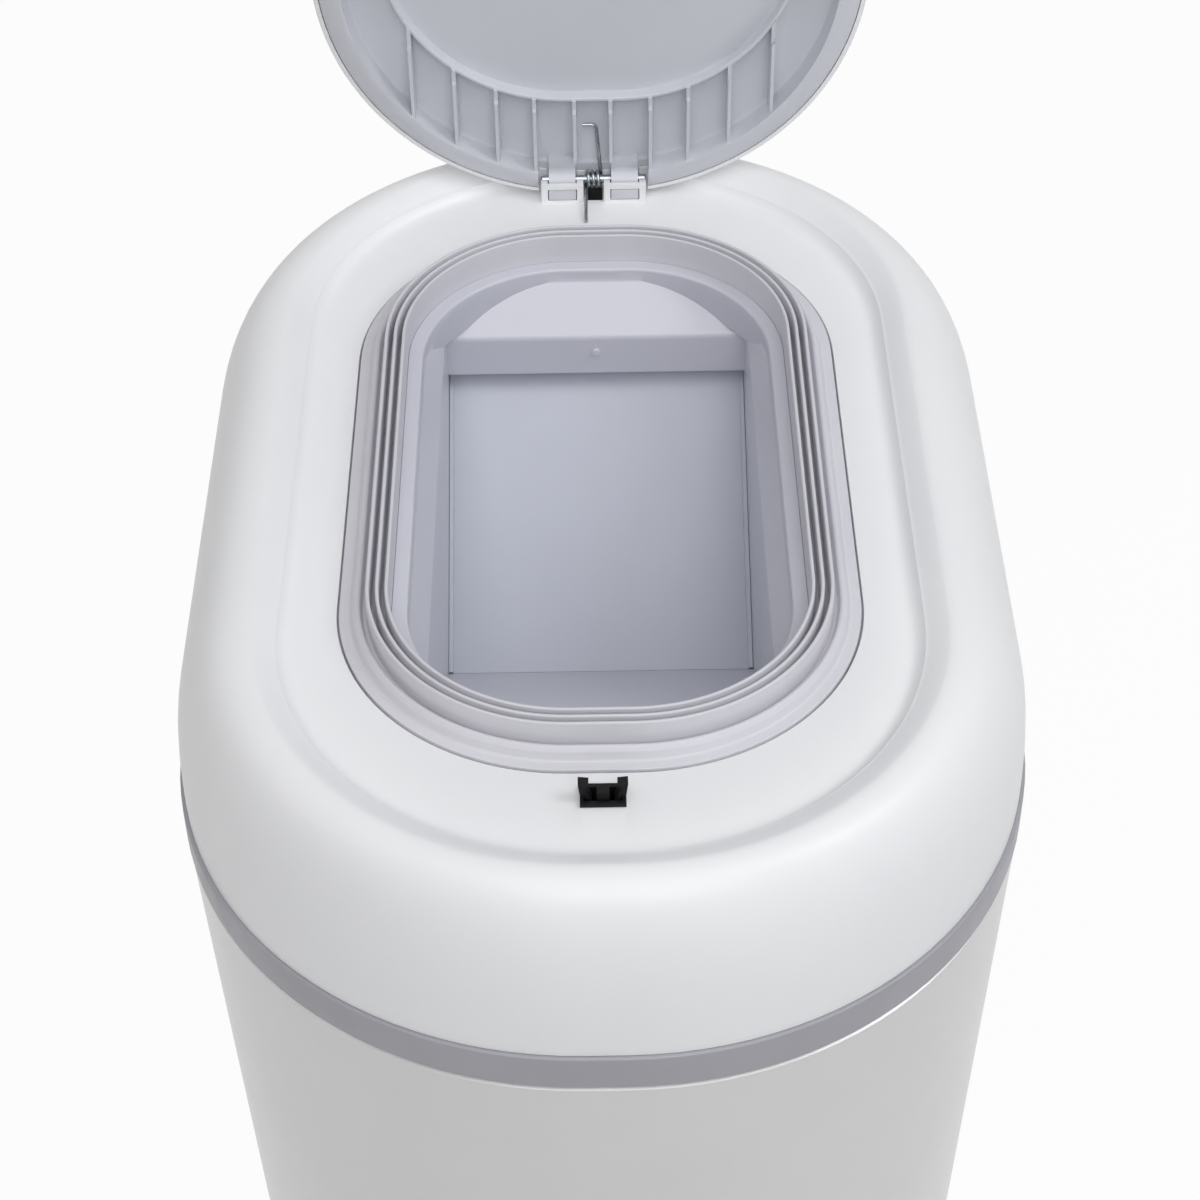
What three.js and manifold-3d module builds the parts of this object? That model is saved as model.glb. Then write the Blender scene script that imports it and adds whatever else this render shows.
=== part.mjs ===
// Nappy bin: a tapered body, a lift-off cover with a lipped throat and a tipping tray, and a latched lid.
// Millimetres, +Z up, +Y to the rear, the origin on the floor under the middle. The lid stands open.
import * as THREE from "three";
import { mergeVertices } from "three/addons/utils/BufferGeometryUtils.js";
import Module from "manifold-3d";

const wasm = await Module();
wasm.setup();

// Overall sizes
const deckHeight = 590;
const collar = { halfWidth: 140.5, halfLength: 205.2, endFlat: 6.5 };
const bandTopDrop = 55.5;
const bandHeight = 13.8;
const seatGap = 0.3;
const overrun = 2;

// Body, its collar and its base
const sheet = 1.2;
const bodyTopInset = 0.4;
const bodyTaper = 18;
const bodyTopGap = 0.5;
const bandWall = 2.2;
const bandPlate = 2;
const bandInnerInset = 7;
const bandLipDepth = 7;
const joggle = 2.6;
const joggleRise = 9;
const plinthHeight = 22;
const plinthWall = 2.4;
const plinthStep = 1;
const plinthFloor = 3;
const plinthFloorRise = 9;
const plinthLip = 6;
const footRadius = 11;
const footHeight = 5;
const footInset = 26;

// Cover shell
const coverWall = 2.5;
const coverBottomInset = 1.3;
const crownMargin = { side: 26.5, end: 15.7, corner: 26 };
const crownRise = 9;
const crownRound = { reach: 3, drop: 0.5 };
const rimMargin = { side: 10.8, end: 12.9, corner: 10 };
const rimRise = 3.4;
const coveWidth = 7.5;
const coveShares = [
  [0.22, 0.5],
  [0.55, 0.14],
];
const coveUnderside = 1;
const holeMargin = { side: 11, end: 28.9, corner: 15.7 };
const spigotDepth = 8;
const spigotWall = 2;
const shoulderSteps = 9;
const shoulderSidePower = 1.05;
const shoulderTopPower = 0.77;

// Throat insert and its trap
const flangeReach = 5;
const flangeThickness = 2.2;
const channelWidth = 18.5;
const ledgeWidth = 4;
const throatDepth = 5;
const throatCornerLoss = 8;
const sideRampDepth = 18;
const chuteWall = 2;
const chuteMargin = { side: 28.7, end: 39.2 };
const chuteShift = 1;
const rampDepth = 20;
const lowerEdge = { y: 8, drop: 102 };
const strip = { lean: 5, drop: 40.4 };
const gateMark = { radius: 1.6, height: 1, drop: 27, sides: 10 };
const trapAxis = { behind: 7, drop: 50 };
const trapPinRadius = 2;
const trapPinReach = 3;
const trapSideGap = 1;
const trayWall = 1.5;
const trayFloor = 2;
const traySag = 4.2;
const trayRim = 2;
const trayEdgeGap = 1.2;
const traySteps = 10;
const trayRise = 6.6;
const trayTail = 2;
const hubWall = 2.6;
const hubClearance = 0.3;
const hubGapHalfWidth = 9;
const cheekMargin = 8;
const clipRadius = 4.4;
const clipThickness = 1;

// Soft seal with three lips
const lip = { count: 3, pitch: 3.05, root: 1.5, tip: 1.2, top: 11.2, floor: 2.6, first: 9.7 };
const sealFlange = 4.4;
const sealFlangeRise = 0.5;
const bead = { width: 3.3, rise: 5.2, shoulderShare: 0.25, crestShare: 0.6, shoulderRiseShare: 0.66 };
const beadBack = { rise: 4.6, foot: 0.7 };
const sealOuterGap = 0.6;

// Hinge
const hingeAxis = { setback: 9.1, rise: 6.5 };
const hingePinRadius = 1.5;
const lugInner = 3.9;
const lugWidth = 16.1;
const earThickness = 2.5;
const earRear = 3.3;
const earRearDrop = 2.7;
const earFlat = 3.5;
const bridgeThickness = 1.5;
const bridgeReach = 6.5;
const bridgeTop = 8;
const windowTop = 5.9;
const windowSill = 0.8;
const knuckleRadius = 4.6;
const armReach = 8.2;
const knuckleGap = 0.45;
const hingeClipDepth = 1.2;
const slotHalfWidth = 2.9;
const slotShift = 0.6;
const slotLength = 10;

// Springs
const hingeSpring = {
  wire: 0.65,
  coil: 2.85,
  turns: 3,
  pitch: 1.85,
  lowLeg: 20.5,
  highLeg: 22.5,
  lean: 1.6,
  hook: 5.2,
  bend: 2,
};
const trapSpring = {
  wire: 0.6,
  coil: 3.3,
  turns: 5,
  pitch: 1.9,
  lowLeg: 14,
  highLeg: trapAxis.drop - strip.drop - 2 * seatGap,
  lean: 0,
  hook: 0,
  bend: 0,
};
const latchSpring = { wire: 0.35, coil: 1.9, turns: 4 };
const springSides = 5;
const curlSteps = 8;

// Push latch at the front
const latchSetback = 10.1;
const housing = { halfWidth: 6.6, halfDepth: 3.6, depth: 20, wall: 0.8, floor: 1 };
const bezel = { margin: 0.8, thickness: 1.2 };
const latchHoleGap = 0.3;
const plunger = { halfWidth: 2, halfDepth: 2.3, top: 4.5, bottom: 10.5, footHalfWidth: 2.7, footHeight: 2.4 };
const jaw = {
  inner: 3.6,
  outer: 5.4,
  bottom: 9,
  waist: 1,
  waistInner: 3.3,
  flareStart: 2.1,
  tipOuter: 7.5,
  tipInner: 4.3,
  hollow: 5.6,
  hollowRise: 6.6,
  hookRise: 7.6,
  top: 8.6,
  flareTop: 2.9,
  halfDepth: 2.3,
  pivotX: 4.5,
  pivotDrop: 7,
  trunnion: 0.8,
};
const striker = {
  neck: 1.2,
  head: 2.7,
  headHeight: 1.4,
  bottom: 4.9,
  halfDepth: 2.2,
  foot: 4,
  footThickness: 0.8,
};

// Lid
const lidMargin = { side: 2, end: 3.1, corner: 1 };
const lidEdgeRise = 5;
const lidSkirt = 1.7;
const lidOpenAngle = 89;
const floorRise = 11.9;
const panelThickness = 1.8;
const panelShoulder = { lowRise: 6.5, midRise: 9.5, midInset: 4, topInset: 10 };
const dishDepthRise = 1.4;
const dishInset = 6.4;
const dishWall = 2;
const plugWall = 1.4;
const plugTip = 6.5;
const plugInset = 7.5;
const ribThickness = 1.6;
const ribTip = 3;
const ribPlaceShares = [0.067, 0.215, 0.356, 0.507, 0.662];
const latchRoom = { halfWidth: 9.5, halfDepth: 6.5 };
const notchHalfWidth = 21;
const notchDepth = 9.5;
const notchRise = 4;
const lidCrown = 18.2;
const lidSkin = 1.8;
const lidRoomInset = 18;
const lidDomeSteps = 6;
const lidBulgeShare = 0.35;
const lidSideRise = 3;

// Facets of a plan outline, from the middle of each side to the next
const cornerSteps = 10;
const roundSides = 16;

// Worked out from the sizes above
const band = {
  halfWidth: collar.halfWidth,
  halfLength: collar.halfLength,
  radius: collar.halfWidth - collar.endFlat,
};
const crown = shrink(band, crownMargin);
const rim = shrink(crown, rimMargin);
const recess = inset(rim, coveWidth);
const hole = shrink(recess, holeMargin);
const lidEdge = shrink(rim, lidMargin);
const chuteHalfWidth = hole.halfWidth - chuteMargin.side;
const chuteHalfLength = hole.halfLength - chuteMargin.end;
const hingeY = rim.halfLength - hingeAxis.setback;
const trapY = chuteShift + chuteHalfLength + strip.lean + trapAxis.behind;
const latchY = -hole.halfLength - latchSetback;
const deck = deckHeight;
const bandTop = deck - bandTopDrop;
const bandBottom = bandTop - bandHeight;
const bodyTop = bandBottom - bodyTopGap - sheet;
const hingeZ = deck + hingeAxis.rise;
const trapZ = deck - trapAxis.drop;

const matte = (colour, roughness, metalness = 0) =>
  new THREE.MeshStandardMaterial({ color: colour, roughness, metalness });
const finishes = {
  white: matte(0xeceaea, 0.42),
  liner: matte(0xb4b8c0, 0.4),
  tray: matte(0xa7adb8, 0.38),
  lip: matte(0xc8c6ce, 0.55),
  underside: matte(0xa8a8b2, 0.45),
  collar: matte(0x8f8d98, 0.45),
  paint: matte(0xbebcb8, 0.3, 0.5),
  steel: matte(0xc6ccd2, 0.25, 1),
  black: matte(0x161618, 0.5),
  rubber: matte(0x2b2b2d, 0.85),
};

// A plan outline: a rectangle with round corners, with a point in the middle of each side.
function outline({ halfWidth, halfLength, radius, shift = 0 }) {
  const points = [];
  for (let quarter = 0; quarter < 4; quarter += 1) {
    const start = (quarter * Math.PI) / 2;
    const alongX = Math.cos(start);
    const alongY = Math.sin(start);
    points.push([halfWidth * alongX, halfLength * alongY + shift]);
    const cornerX = (halfWidth - radius) * (quarter === 0 || quarter === 3 ? 1 : -1);
    const cornerY = (halfLength - radius) * (quarter < 2 ? 1 : -1);
    for (let step = 0; step <= cornerSteps; step += 1) {
      const turn = start + (step / cornerSteps) * (Math.PI / 2);
      points.push([cornerX + radius * Math.cos(turn), cornerY + radius * Math.sin(turn) + shift]);
    }
  }
  return points;
}

function inset(plan, distance) {
  return {
    ...plan,
    halfWidth: plan.halfWidth - distance,
    halfLength: plan.halfLength - distance,
    radius: plan.radius - distance,
  };
}

// A plan with its own margin at the sides, the ends and the corners.
function shrink(plan, { side, end, corner }) {
  return {
    halfWidth: plan.halfWidth - side,
    halfLength: plan.halfLength - end,
    radius: plan.radius - corner,
  };
}

function between(planA, planB, share) {
  const mix = (key) => planA[key] + (planB[key] - planA[key]) * share;
  return { halfWidth: mix("halfWidth"), halfLength: mix("halfLength"), radius: mix("radius") };
}

const at = (plan, z) => ({ ...plan, z });

// A closed surface from points and triangles, turned so that its faces point out.
function surface(points, triangles) {
  let volume = 0;
  const corner = new THREE.Vector3();
  const second = new THREE.Vector3();
  const third = new THREE.Vector3();
  for (const [a, b, c] of triangles) {
    corner.fromArray(points[a]);
    second.fromArray(points[b]);
    third.fromArray(points[c]);
    volume += corner.dot(second.cross(third));
  }
  const faces = volume < 0 ? triangles.map(([a, b, c]) => [a, c, b]) : triangles;
  const geometry = new THREE.BufferGeometry();
  geometry.setAttribute("position", new THREE.Float32BufferAttribute(points.flat(), 3));
  geometry.setIndex(faces.flat());
  return geometry;
}

function wallsBetween(rowA, rowB, count, triangles) {
  for (let i = 0; i < count; i += 1) {
    const next = (i + 1) % count;
    triangles.push([rowA * count + i, rowA * count + next, rowB * count + next]);
    triangles.push([rowA * count + i, rowB * count + next, rowB * count + i]);
  }
}

function rowPoints(rows) {
  return rows.flatMap((row) => outline(row).map(([x, y]) => [x, y, row.z]));
}

// A ring whose section passes through the rows and closes on itself.
function ring(rows) {
  const count = outline(rows[0]).length;
  const triangles = [];
  rows.forEach((_, row) => wallsBetween(row, (row + 1) % rows.length, count, triangles));
  return surface(rowPoints(rows), triangles);
}

// A solid stack of plan outlines, capped at both ends.
function stack(rows) {
  const count = outline(rows[0]).length;
  const points = rowPoints(rows);
  const triangles = [];
  for (let row = 0; row + 1 < rows.length; row += 1) wallsBetween(row, row + 1, count, triangles);
  const first = rows[0];
  const last = rows[rows.length - 1];
  const firstCentre = points.push([0, first.shift ?? 0, first.z]) - 1;
  const lastCentre = points.push([0, last.shift ?? 0, last.z]) - 1;
  const lastRow = (rows.length - 1) * count;
  for (let i = 0; i < count; i += 1) {
    const next = (i + 1) % count;
    triangles.push([firstCentre, next, i]);
    triangles.push([lastCentre, lastRow + i, lastRow + next]);
  }
  return surface(points, triangles);
}

function toSolid(geometry) {
  const bare = geometry.clone();
  bare.deleteAttribute("normal");
  bare.deleteAttribute("uv");
  const merged = mergeVertices(bare);
  return new wasm.Manifold(
    new wasm.Mesh({
      numProp: 3,
      vertProperties: merged.attributes.position.array,
      triVerts: new Uint32Array(merged.index.array),
    }),
  );
}

function fromSolid(solid) {
  const mesh = solid.getMesh();
  const geometry = new THREE.BufferGeometry();
  geometry.setAttribute("position", new THREE.BufferAttribute(mesh.vertProperties, mesh.numProp));
  geometry.setIndex(new THREE.BufferAttribute(mesh.triVerts, 1));
  return geometry;
}

const join = (...shapes) => fromSolid(shapes.map(toSolid).reduce((all, one) => all.add(one)));
const cut = (shape, ...tools) =>
  fromSolid(tools.map(toSolid).reduce((rest, tool) => rest.subtract(tool), toSolid(shape)));
const common = (...shapes) => fromSolid(shapes.map(toSolid).reduce((all, one) => all.intersect(one)));

function box([x0, x1], [y0, y1], [z0, z1]) {
  const geometry = new THREE.BoxGeometry(x1 - x0, y1 - y0, z1 - z0);
  return geometry.translate((x0 + x1) / 2, (y0 + y1) / 2, (z0 + z1) / 2);
}

function polygon(points) {
  return new THREE.Shape(points.map(([u, v]) => new THREE.Vector2(u, v)));
}

// A side profile of [y, z] points, extruded along X from one place to another.
function alongX(points, from, to) {
  const turned = new THREE.Matrix4().makeBasis(
    new THREE.Vector3(0, 1, 0),
    new THREE.Vector3(0, 0, 1),
    new THREE.Vector3(1, 0, 0),
  );
  return new THREE.ExtrudeGeometry(polygon(points), { depth: to - from, bevelEnabled: false })
    .applyMatrix4(turned)
    .translate(from, 0, 0);
}

// A front profile of [x, z] points, extruded along Y about a middle place.
function alongY(points, middle, halfDepth) {
  const turned = new THREE.Matrix4().makeBasis(
    new THREE.Vector3(1, 0, 0),
    new THREE.Vector3(0, 0, 1),
    new THREE.Vector3(0, -1, 0),
  );
  return new THREE.ExtrudeGeometry(polygon(points), { depth: 2 * halfDepth, bevelEnabled: false })
    .applyMatrix4(turned)
    .translate(0, middle + halfDepth, 0);
}

function rodAlongX(radius, from, to, y, z, sides = roundSides) {
  return new THREE.CylinderGeometry(radius, radius, to - from, sides)
    .rotateZ(Math.PI / 2)
    .translate((from + to) / 2, y, z);
}

function rodAlongY(radius, from, to, x, z, sides = roundSides) {
  return new THREE.CylinderGeometry(radius, radius, to - from, sides).translate(x, (from + to) / 2, z);
}

function discAlongZ(radius, from, to, x, y, sides = roundSides) {
  return new THREE.CylinderGeometry(radius, radius, to - from, sides)
    .rotateX(Math.PI / 2)
    .translate(x, y, (from + to) / 2);
}

// Body
const bodyTopPlan = inset(band, bodyTopInset);
const bodyBasePlan = inset(bodyTopPlan, bodyTaper);

function bodyPlanAt(z) {
  return between(bodyBasePlan, bodyTopPlan, z / bodyTop);
}

function bodyShell() {
  const bottom = plinthFloorRise + plinthFloor + seatGap;
  const neck = bodyTop + sheet;
  const rim = bodyTop + joggleRise;
  const outer = [
    at(bodyPlanAt(bottom), bottom),
    at(bodyTopPlan, bodyTop),
    at(inset(bodyTopPlan, joggle), neck),
    at(inset(bodyTopPlan, joggle), rim),
  ];
  const inner = [
    at(inset(bodyTopPlan, joggle + sheet), rim),
    at(inset(bodyTopPlan, joggle + sheet), bodyTop),
    at(inset(bodyTopPlan, sheet), bodyTop - sheet),
    at(inset(bodyPlanAt(bottom), sheet), bottom),
  ];
  return ring([...outer, ...inner]);
}

function trimBand() {
  const plateBottom = bandTop - bandPlate;
  const lipOuter = inset(band, bandInnerInset);
  const lipInner = inset(band, bandInnerInset + bandWall);
  return ring([
    at(band, bandBottom),
    at(band, bandTop),
    at(lipInner, bandTop),
    at(lipInner, bandBottom - bandLipDepth),
    at(lipOuter, bandBottom - bandLipDepth),
    at(lipOuter, plateBottom),
    at(inset(band, bandWall), plateBottom),
    at(inset(band, bandWall), bandBottom),
  ]);
}

function baseTray() {
  const plinthOuter = inset(bodyPlanAt(plinthHeight), -plinthStep - seatGap);
  const plinthInner = inset(plinthOuter, plinthStep);
  const innerLip = inset(bodyPlanAt(plinthFloorRise), sheet + seatGap);
  const floorTop = plinthFloorRise + plinthFloor;
  const tray = stack([
    at(inset(plinthOuter, plinthStep), footHeight),
    at(plinthOuter, footHeight + plinthStep),
    at(plinthOuter, plinthHeight - plinthStep),
    at(plinthInner, plinthHeight),
  ]);
  const inside = stack([
    at(inset(innerLip, plinthWall), floorTop),
    at(inset(innerLip, plinthWall), plinthHeight + overrun),
  ]);
  const groove = ring([
    at(plinthInner, floorTop),
    at(plinthInner, plinthHeight + overrun),
    at(innerLip, plinthHeight + overrun),
    at(innerLip, floorTop),
  ]);
  const underside = stack([
    at(inset(plinthOuter, plinthWall + plinthStep + plinthLip), footHeight - overrun),
    at(inset(plinthOuter, plinthWall + plinthStep + plinthLip), plinthFloorRise),
  ]);
  const pads = footPlaces().map(([x, y]) =>
    discAlongZ(footRadius + plinthWall, footHeight, plinthFloorRise + seatGap, x, y),
  );
  return join(cut(tray, inside, groove, underside), ...pads);
}

function footPlaces() {
  const spanX = bodyBasePlan.halfWidth - bodyBasePlan.radius;
  const spanY = bodyBasePlan.halfLength - bodyBasePlan.radius;
  const reach = (bodyBasePlan.radius - footInset) * Math.SQRT1_2;
  return [-1, 1].flatMap((sideY) =>
    [-1, 1].map((sideX) => [sideX * (spanX + reach), sideY * (spanY + reach)]),
  );
}

function foot([x, y]) {
  return discAlongZ(footRadius, 0, footHeight - seatGap, x, y, 2 * roundSides);
}

// Cover
function shoulderRow(step, offset) {
  const turn = (step / shoulderSteps) * (Math.PI / 2);
  const spread = Math.sin(turn) ** shoulderSidePower;
  const height = Math.cos(turn) ** shoulderTopPower;
  const bottom = inset(band, coverBottomInset);
  const low = bandTop + seatGap;
  const top = deck + crownRise;
  const plan = between(crown, bottom, spread);
  const sink = offset * height;
  return at(inset(plan, offset * spread), low + (top - low) * height - sink);
}

function coverShell() {
  const steps = [...Array(shoulderSteps + 1).keys()];
  const outer = steps.map((step) => shoulderRow(step, 0)).reverse();
  const inner = steps.map((step) => shoulderRow(step, coverWall));
  const low = bandTop + seatGap;
  const spigotOuter = inset(band, bandInnerInset + bandWall + seatGap);
  const spigotInner = inset(spigotOuter, spigotWall);
  const hip = inset(band, coverBottomInset + coverWall);
  const cove = coveShares.map(([reach, height]) =>
    at(inset(rim, coveWidth * reach), deck + rimRise * height),
  );
  const top = [
    at(inset(crown, crownRound.reach), deck + crownRise - crownRound.drop),
    at(rim, deck + rimRise),
    ...cove,
    at(recess, deck),
    at(hole, deck),
    at(hole, deck - coverWall),
    at(recess, deck - coverWall),
    at(inset(rim, -coveUnderside), deck + rimRise - coverWall),
    at(inset(crown, crownRound.reach), deck + crownRise - crownRound.drop - coverWall),
  ];
  const bottom = [
    at(hip, low + spigotWall),
    at(spigotInner, low + spigotWall),
    at(spigotInner, low - spigotDepth),
    at(spigotOuter, low - spigotDepth),
    at(spigotOuter, low),
  ];
  return ring([...outer, ...top, ...inner.slice(0, -1), ...bottom]);
}

const lugSides = [-1, 1];
const lugSpan = (side) => [side * lugInner, side * (lugInner + lugWidth)].sort((a, b) => a - b);
const knuckleSpan = (side) => {
  const [low, high] = lugSpan(side);
  return [low + earThickness, high - earThickness];
};

function earProfile() {
  const front = hingeY - bridgeReach;
  const rear = hingeY + earRear;
  const top = deck + bridgeTop;
  return [
    [front, deck - seatGap],
    [rear, deck - seatGap],
    [rear, top - earRearDrop],
    [front + earFlat, top],
    [front, top],
  ];
}

function lug(side) {
  const [low, high] = lugSpan(side);
  const [windowLow, windowHigh] = knuckleSpan(side);
  const front = hingeY - bridgeReach;
  const frame = box([low, high], [front, front + bridgeThickness], [deck - seatGap, deck + bridgeTop]);
  const window = box(
    [windowLow, windowHigh],
    [front - overrun, front + bridgeThickness + overrun],
    [deck + windowSill, deck + windowTop],
  );
  const ears = [alongX(earProfile(), low, windowLow), alongX(earProfile(), windowHigh, high)];
  return cut(join(cut(frame, window), ...ears), hingePinBore());
}

function hingePinBore() {
  const reach = lugInner + lugWidth + overrun;
  return rodAlongX(hingePinRadius + seatGap, -reach, reach, hingeY, hingeZ);
}

function topCover() {
  const slot = box(
    [slotShift - slotHalfWidth, slotShift + slotHalfWidth],
    [hingeY - slotLength / 2, hingeY + slotLength / 2],
    [deck - coverWall - overrun, deck + overrun],
  );
  const latchHole = box(
    [-housing.halfWidth - latchHoleGap, housing.halfWidth + latchHoleGap],
    [latchY - housing.halfDepth - latchHoleGap, latchY + housing.halfDepth + latchHoleGap],
    [deck - coverWall - overrun, deck + overrun],
  );
  return join(cut(coverShell(), slot, latchHole), ...lugSides.map(lug));
}

// Throat
const holeInset = (distance) => inset(hole, distance);
const throatInset = channelWidth + seatGap + ledgeWidth;

function flangeRing() {
  const flangeTop = deck - coverWall - seatGap;
  const flangeBottom = flangeTop - flangeThickness;
  const wallTop = channelWidth + seatGap;
  return ring([
    at(holeInset(-flangeReach), flangeBottom),
    at(holeInset(-flangeReach), flangeTop),
    at(holeInset(wallTop), flangeTop),
    at(holeInset(wallTop), deck),
    at(holeInset(throatInset + overrun), deck),
    at(holeInset(throatInset + overrun), flangeBottom),
  ]);
}

const rampFront = chuteShift - chuteHalfLength;
const rampRear = chuteShift + chuteHalfLength;

// The funnel above the chute: an oblong well cut off by a ramp at each end and each side.
function throatFunnel(top, wall) {
  const mouth = holeInset(throatInset - wall);
  const rampTop = deck - throatDepth;
  const rampZ = deck - rampDepth;
  const low = rampZ - seatGap;
  const well = stack([
    at(mouth, top),
    at(mouth, rampTop),
    at({ ...mouth, radius: mouth.radius - throatCornerLoss }, low),
  ]);
  const ends = [
    [rampFront - wall, low],
    [rampRear + wall, low],
    [rampRear + wall, rampZ],
    [mouth.halfLength, rampTop],
    [mouth.halfLength, top + overrun],
    [-mouth.halfLength, top + overrun],
    [-mouth.halfLength, rampTop],
    [rampFront - wall, rampZ],
  ];
  const half = chuteHalfWidth + wall;
  const sides = [
    [-half, low],
    [half, low],
    [half, deck - sideRampDepth],
    [mouth.halfWidth, rampTop],
    [mouth.halfWidth, top + overrun],
    [-mouth.halfWidth, top + overrun],
    [-mouth.halfWidth, rampTop],
    [-half, deck - sideRampDepth],
  ];
  return common(
    well,
    alongX(ends, -mouth.halfWidth - overrun, mouth.halfWidth + overrun),
    alongY(sides, 0, mouth.halfLength + overrun),
  );
}

function throatVoid() {
  const lowest = deck - lowerEdge.drop - chuteHalfWidth;
  const behind = trapY + chuteHalfWidth;
  const profile = [
    [rampFront, deck - rampDepth],
    [lowerEdge.y, deck - lowerEdge.drop],
    [lowerEdge.y, lowest],
    [behind, lowest],
    [behind, deck - strip.drop],
    [rampRear + strip.lean, deck - strip.drop],
    [rampRear, deck - rampDepth],
  ];
  return [throatFunnel(deck + overrun, 0), alongX(profile, -chuteHalfWidth, chuteHalfWidth)];
}

function throatShell() {
  const flangeTop = deck - coverWall - seatGap;
  const rear = rampRear + chuteWall;
  const front = rampFront - chuteWall;
  const cheekRear = trapY + cheekMargin;
  const edgeDrop = lowerEdge.drop + chuteWall;
  const profile = [
    [front, deck - rampDepth],
    [lowerEdge.y - chuteWall / 2, deck - edgeDrop - chuteWall / 2],
    [lowerEdge.y + cheekMargin, deck - edgeDrop - chuteWall / 2],
    [cheekRear, trapZ - cheekMargin],
    [cheekRear, deck - strip.drop + chuteWall],
    [rear + strip.lean, deck - strip.drop + chuteWall],
    [rear, deck - rampDepth],
    [rear, deck - rampDepth + chuteWall],
    [front, deck - rampDepth + chuteWall],
  ];
  const half = chuteHalfWidth + chuteWall;
  return [throatFunnel(flangeTop - flangeThickness / 2, chuteWall), alongX(profile, -half, half)];
}

function throatInsert() {
  const shell = cut(join(flangeRing(), ...throatShell()), ...throatVoid());
  const reach = chuteHalfWidth + chuteWall + overrun;
  const bore = rodAlongX(trapPinRadius + seatGap, -reach, reach, trapY, trapZ);
  const share = (gateMark.drop - rampDepth) / (strip.drop - rampDepth);
  const stripY = chuteShift + chuteHalfLength + strip.lean * share;
  const nub = rodAlongY(
    gateMark.radius,
    stripY - gateMark.height,
    stripY + chuteWall / 2,
    0,
    deck - gateMark.drop,
    gateMark.sides,
  );
  return join(cut(shell, bore), nub);
}

// Soft seal
function sealRing() {
  const bottom = deck - coverWall;
  const rows = [
    [sealOuterGap, bottom],
    [sealOuterGap, deck + sealFlangeRise],
    [sealFlange, deck + sealFlangeRise],
    [sealFlange + bead.width * bead.shoulderShare, deck + bead.rise * bead.shoulderRiseShare],
    [sealFlange + bead.width * bead.crestShare, deck + bead.rise],
    [sealFlange + bead.width, deck + beadBack.rise],
    [sealFlange + bead.width + beadBack.foot, deck + lip.floor],
  ];
  for (let fin = 0; fin < lip.count; fin += 1) {
    const start = lip.first + fin * lip.pitch;
    const slack = (lip.root - lip.tip) / 2;
    rows.push([start, deck + lip.floor]);
    rows.push([start + slack, deck + lip.top]);
    rows.push([start + slack + lip.tip, deck + lip.top]);
    if (fin + 1 < lip.count) rows.push([start + lip.root, deck + lip.floor]);
  }
  rows.push([channelWidth, deck + seatGap]);
  rows.push([channelWidth, bottom]);
  return ring(rows.map(([distance, z]) => at(holeInset(distance), z)));
}

// Tray of the trap, closed
const trayHalfWidth = chuteHalfWidth - trapSideGap;
const hubRadius = trapPinRadius + hubClearance + hubWall;
const trayFront = { y: lowerEdge.y + trayEdgeGap, z: deck - lowerEdge.drop };
const trayRear = trayFoot();

// The rear end of the tray's top, where it stands square above the axis.
function trayFoot() {
  const alongY = trapY - trayFront.y;
  const alongZ = trapZ - trayFront.z;
  const length = Math.hypot(alongY, alongZ);
  const turn = Math.atan2(alongZ, alongY) + Math.asin(trayRise / length);
  return { y: trapY - trayRise * Math.sin(turn), z: trapZ + trayRise * Math.cos(turn) };
}

function trayPoint(share, depth) {
  const alongY = trayFront.y - trayRear.y;
  const alongZ = trayFront.z - trayRear.z;
  const length = Math.hypot(alongY, alongZ);
  const sag = 4 * traySag * share * (1 - share) + depth;
  return [
    trayRear.y + alongY * share - (alongZ / length) * sag,
    trayRear.z + alongZ * share + (alongY / length) * sag,
  ];
}

function trayBand(topDepth, bottomDepth, straight) {
  const shares = [...Array(traySteps + 1).keys()].map((step) => step / traySteps);
  const under = shares.map((share) => trayPoint(share, bottomDepth));
  const over = straight
    ? [trayPoint(1, topDepth), trayPoint(0, topDepth)]
    : shares.map((share) => trayPoint(share, topDepth)).reverse();
  return [...under, ...over];
}

function trayTailBand() {
  const span = Math.hypot(trayRear.y - trayFront.y, trayRear.z - trayFront.z);
  const behind = -trayTail / span;
  const start = trayTail / span;
  return [
    trayPoint(behind, 0),
    trayPoint(behind, trayFloor),
    trayPoint(start, trayFloor),
    trayPoint(start, 0),
  ];
}

function flapTray() {
  const floor = alongX(trayBand(0, trayFloor, false), -trayHalfWidth, trayHalfWidth);
  const tail = alongX(trayTailBand(), -trayHalfWidth, trayHalfWidth);
  const sides = lugSides.map((side) => {
    const [low, high] = [side * (trayHalfWidth - trayWall), side * trayHalfWidth].sort((a, b) => a - b);
    return alongX(trayBand(-trayRim, trayFloor, true), low, high);
  });
  const hubs = lugSides.map((side) => {
    const [low, high] = [side * hubGapHalfWidth, side * trayHalfWidth].sort((a, b) => a - b);
    return rodAlongX(hubRadius, low, high, trapY, trapZ);
  });
  const bore = rodAlongX(
    trapPinRadius + hubClearance,
    -trayHalfWidth - overrun,
    trayHalfWidth + overrun,
    trapY,
    trapZ,
  );
  return cut(join(floor, tail, ...sides, ...hubs), bore);
}

const trapPinHalf = chuteHalfWidth + chuteWall + trapPinReach;
const flapPin = () => rodAlongX(trapPinRadius, -trapPinHalf, trapPinHalf, trapY, trapZ);

function pinClip(side) {
  const inside = side * (chuteHalfWidth + chuteWall + seatGap);
  const [low, high] = [inside, inside + side * clipThickness].sort((a, b) => a - b);
  return cut(
    rodAlongX(clipRadius, low, high, trapY, trapZ),
    rodAlongX(trapPinRadius + seatGap / 2, low - overrun, high + overrun, trapY, trapZ),
  );
}

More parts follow.
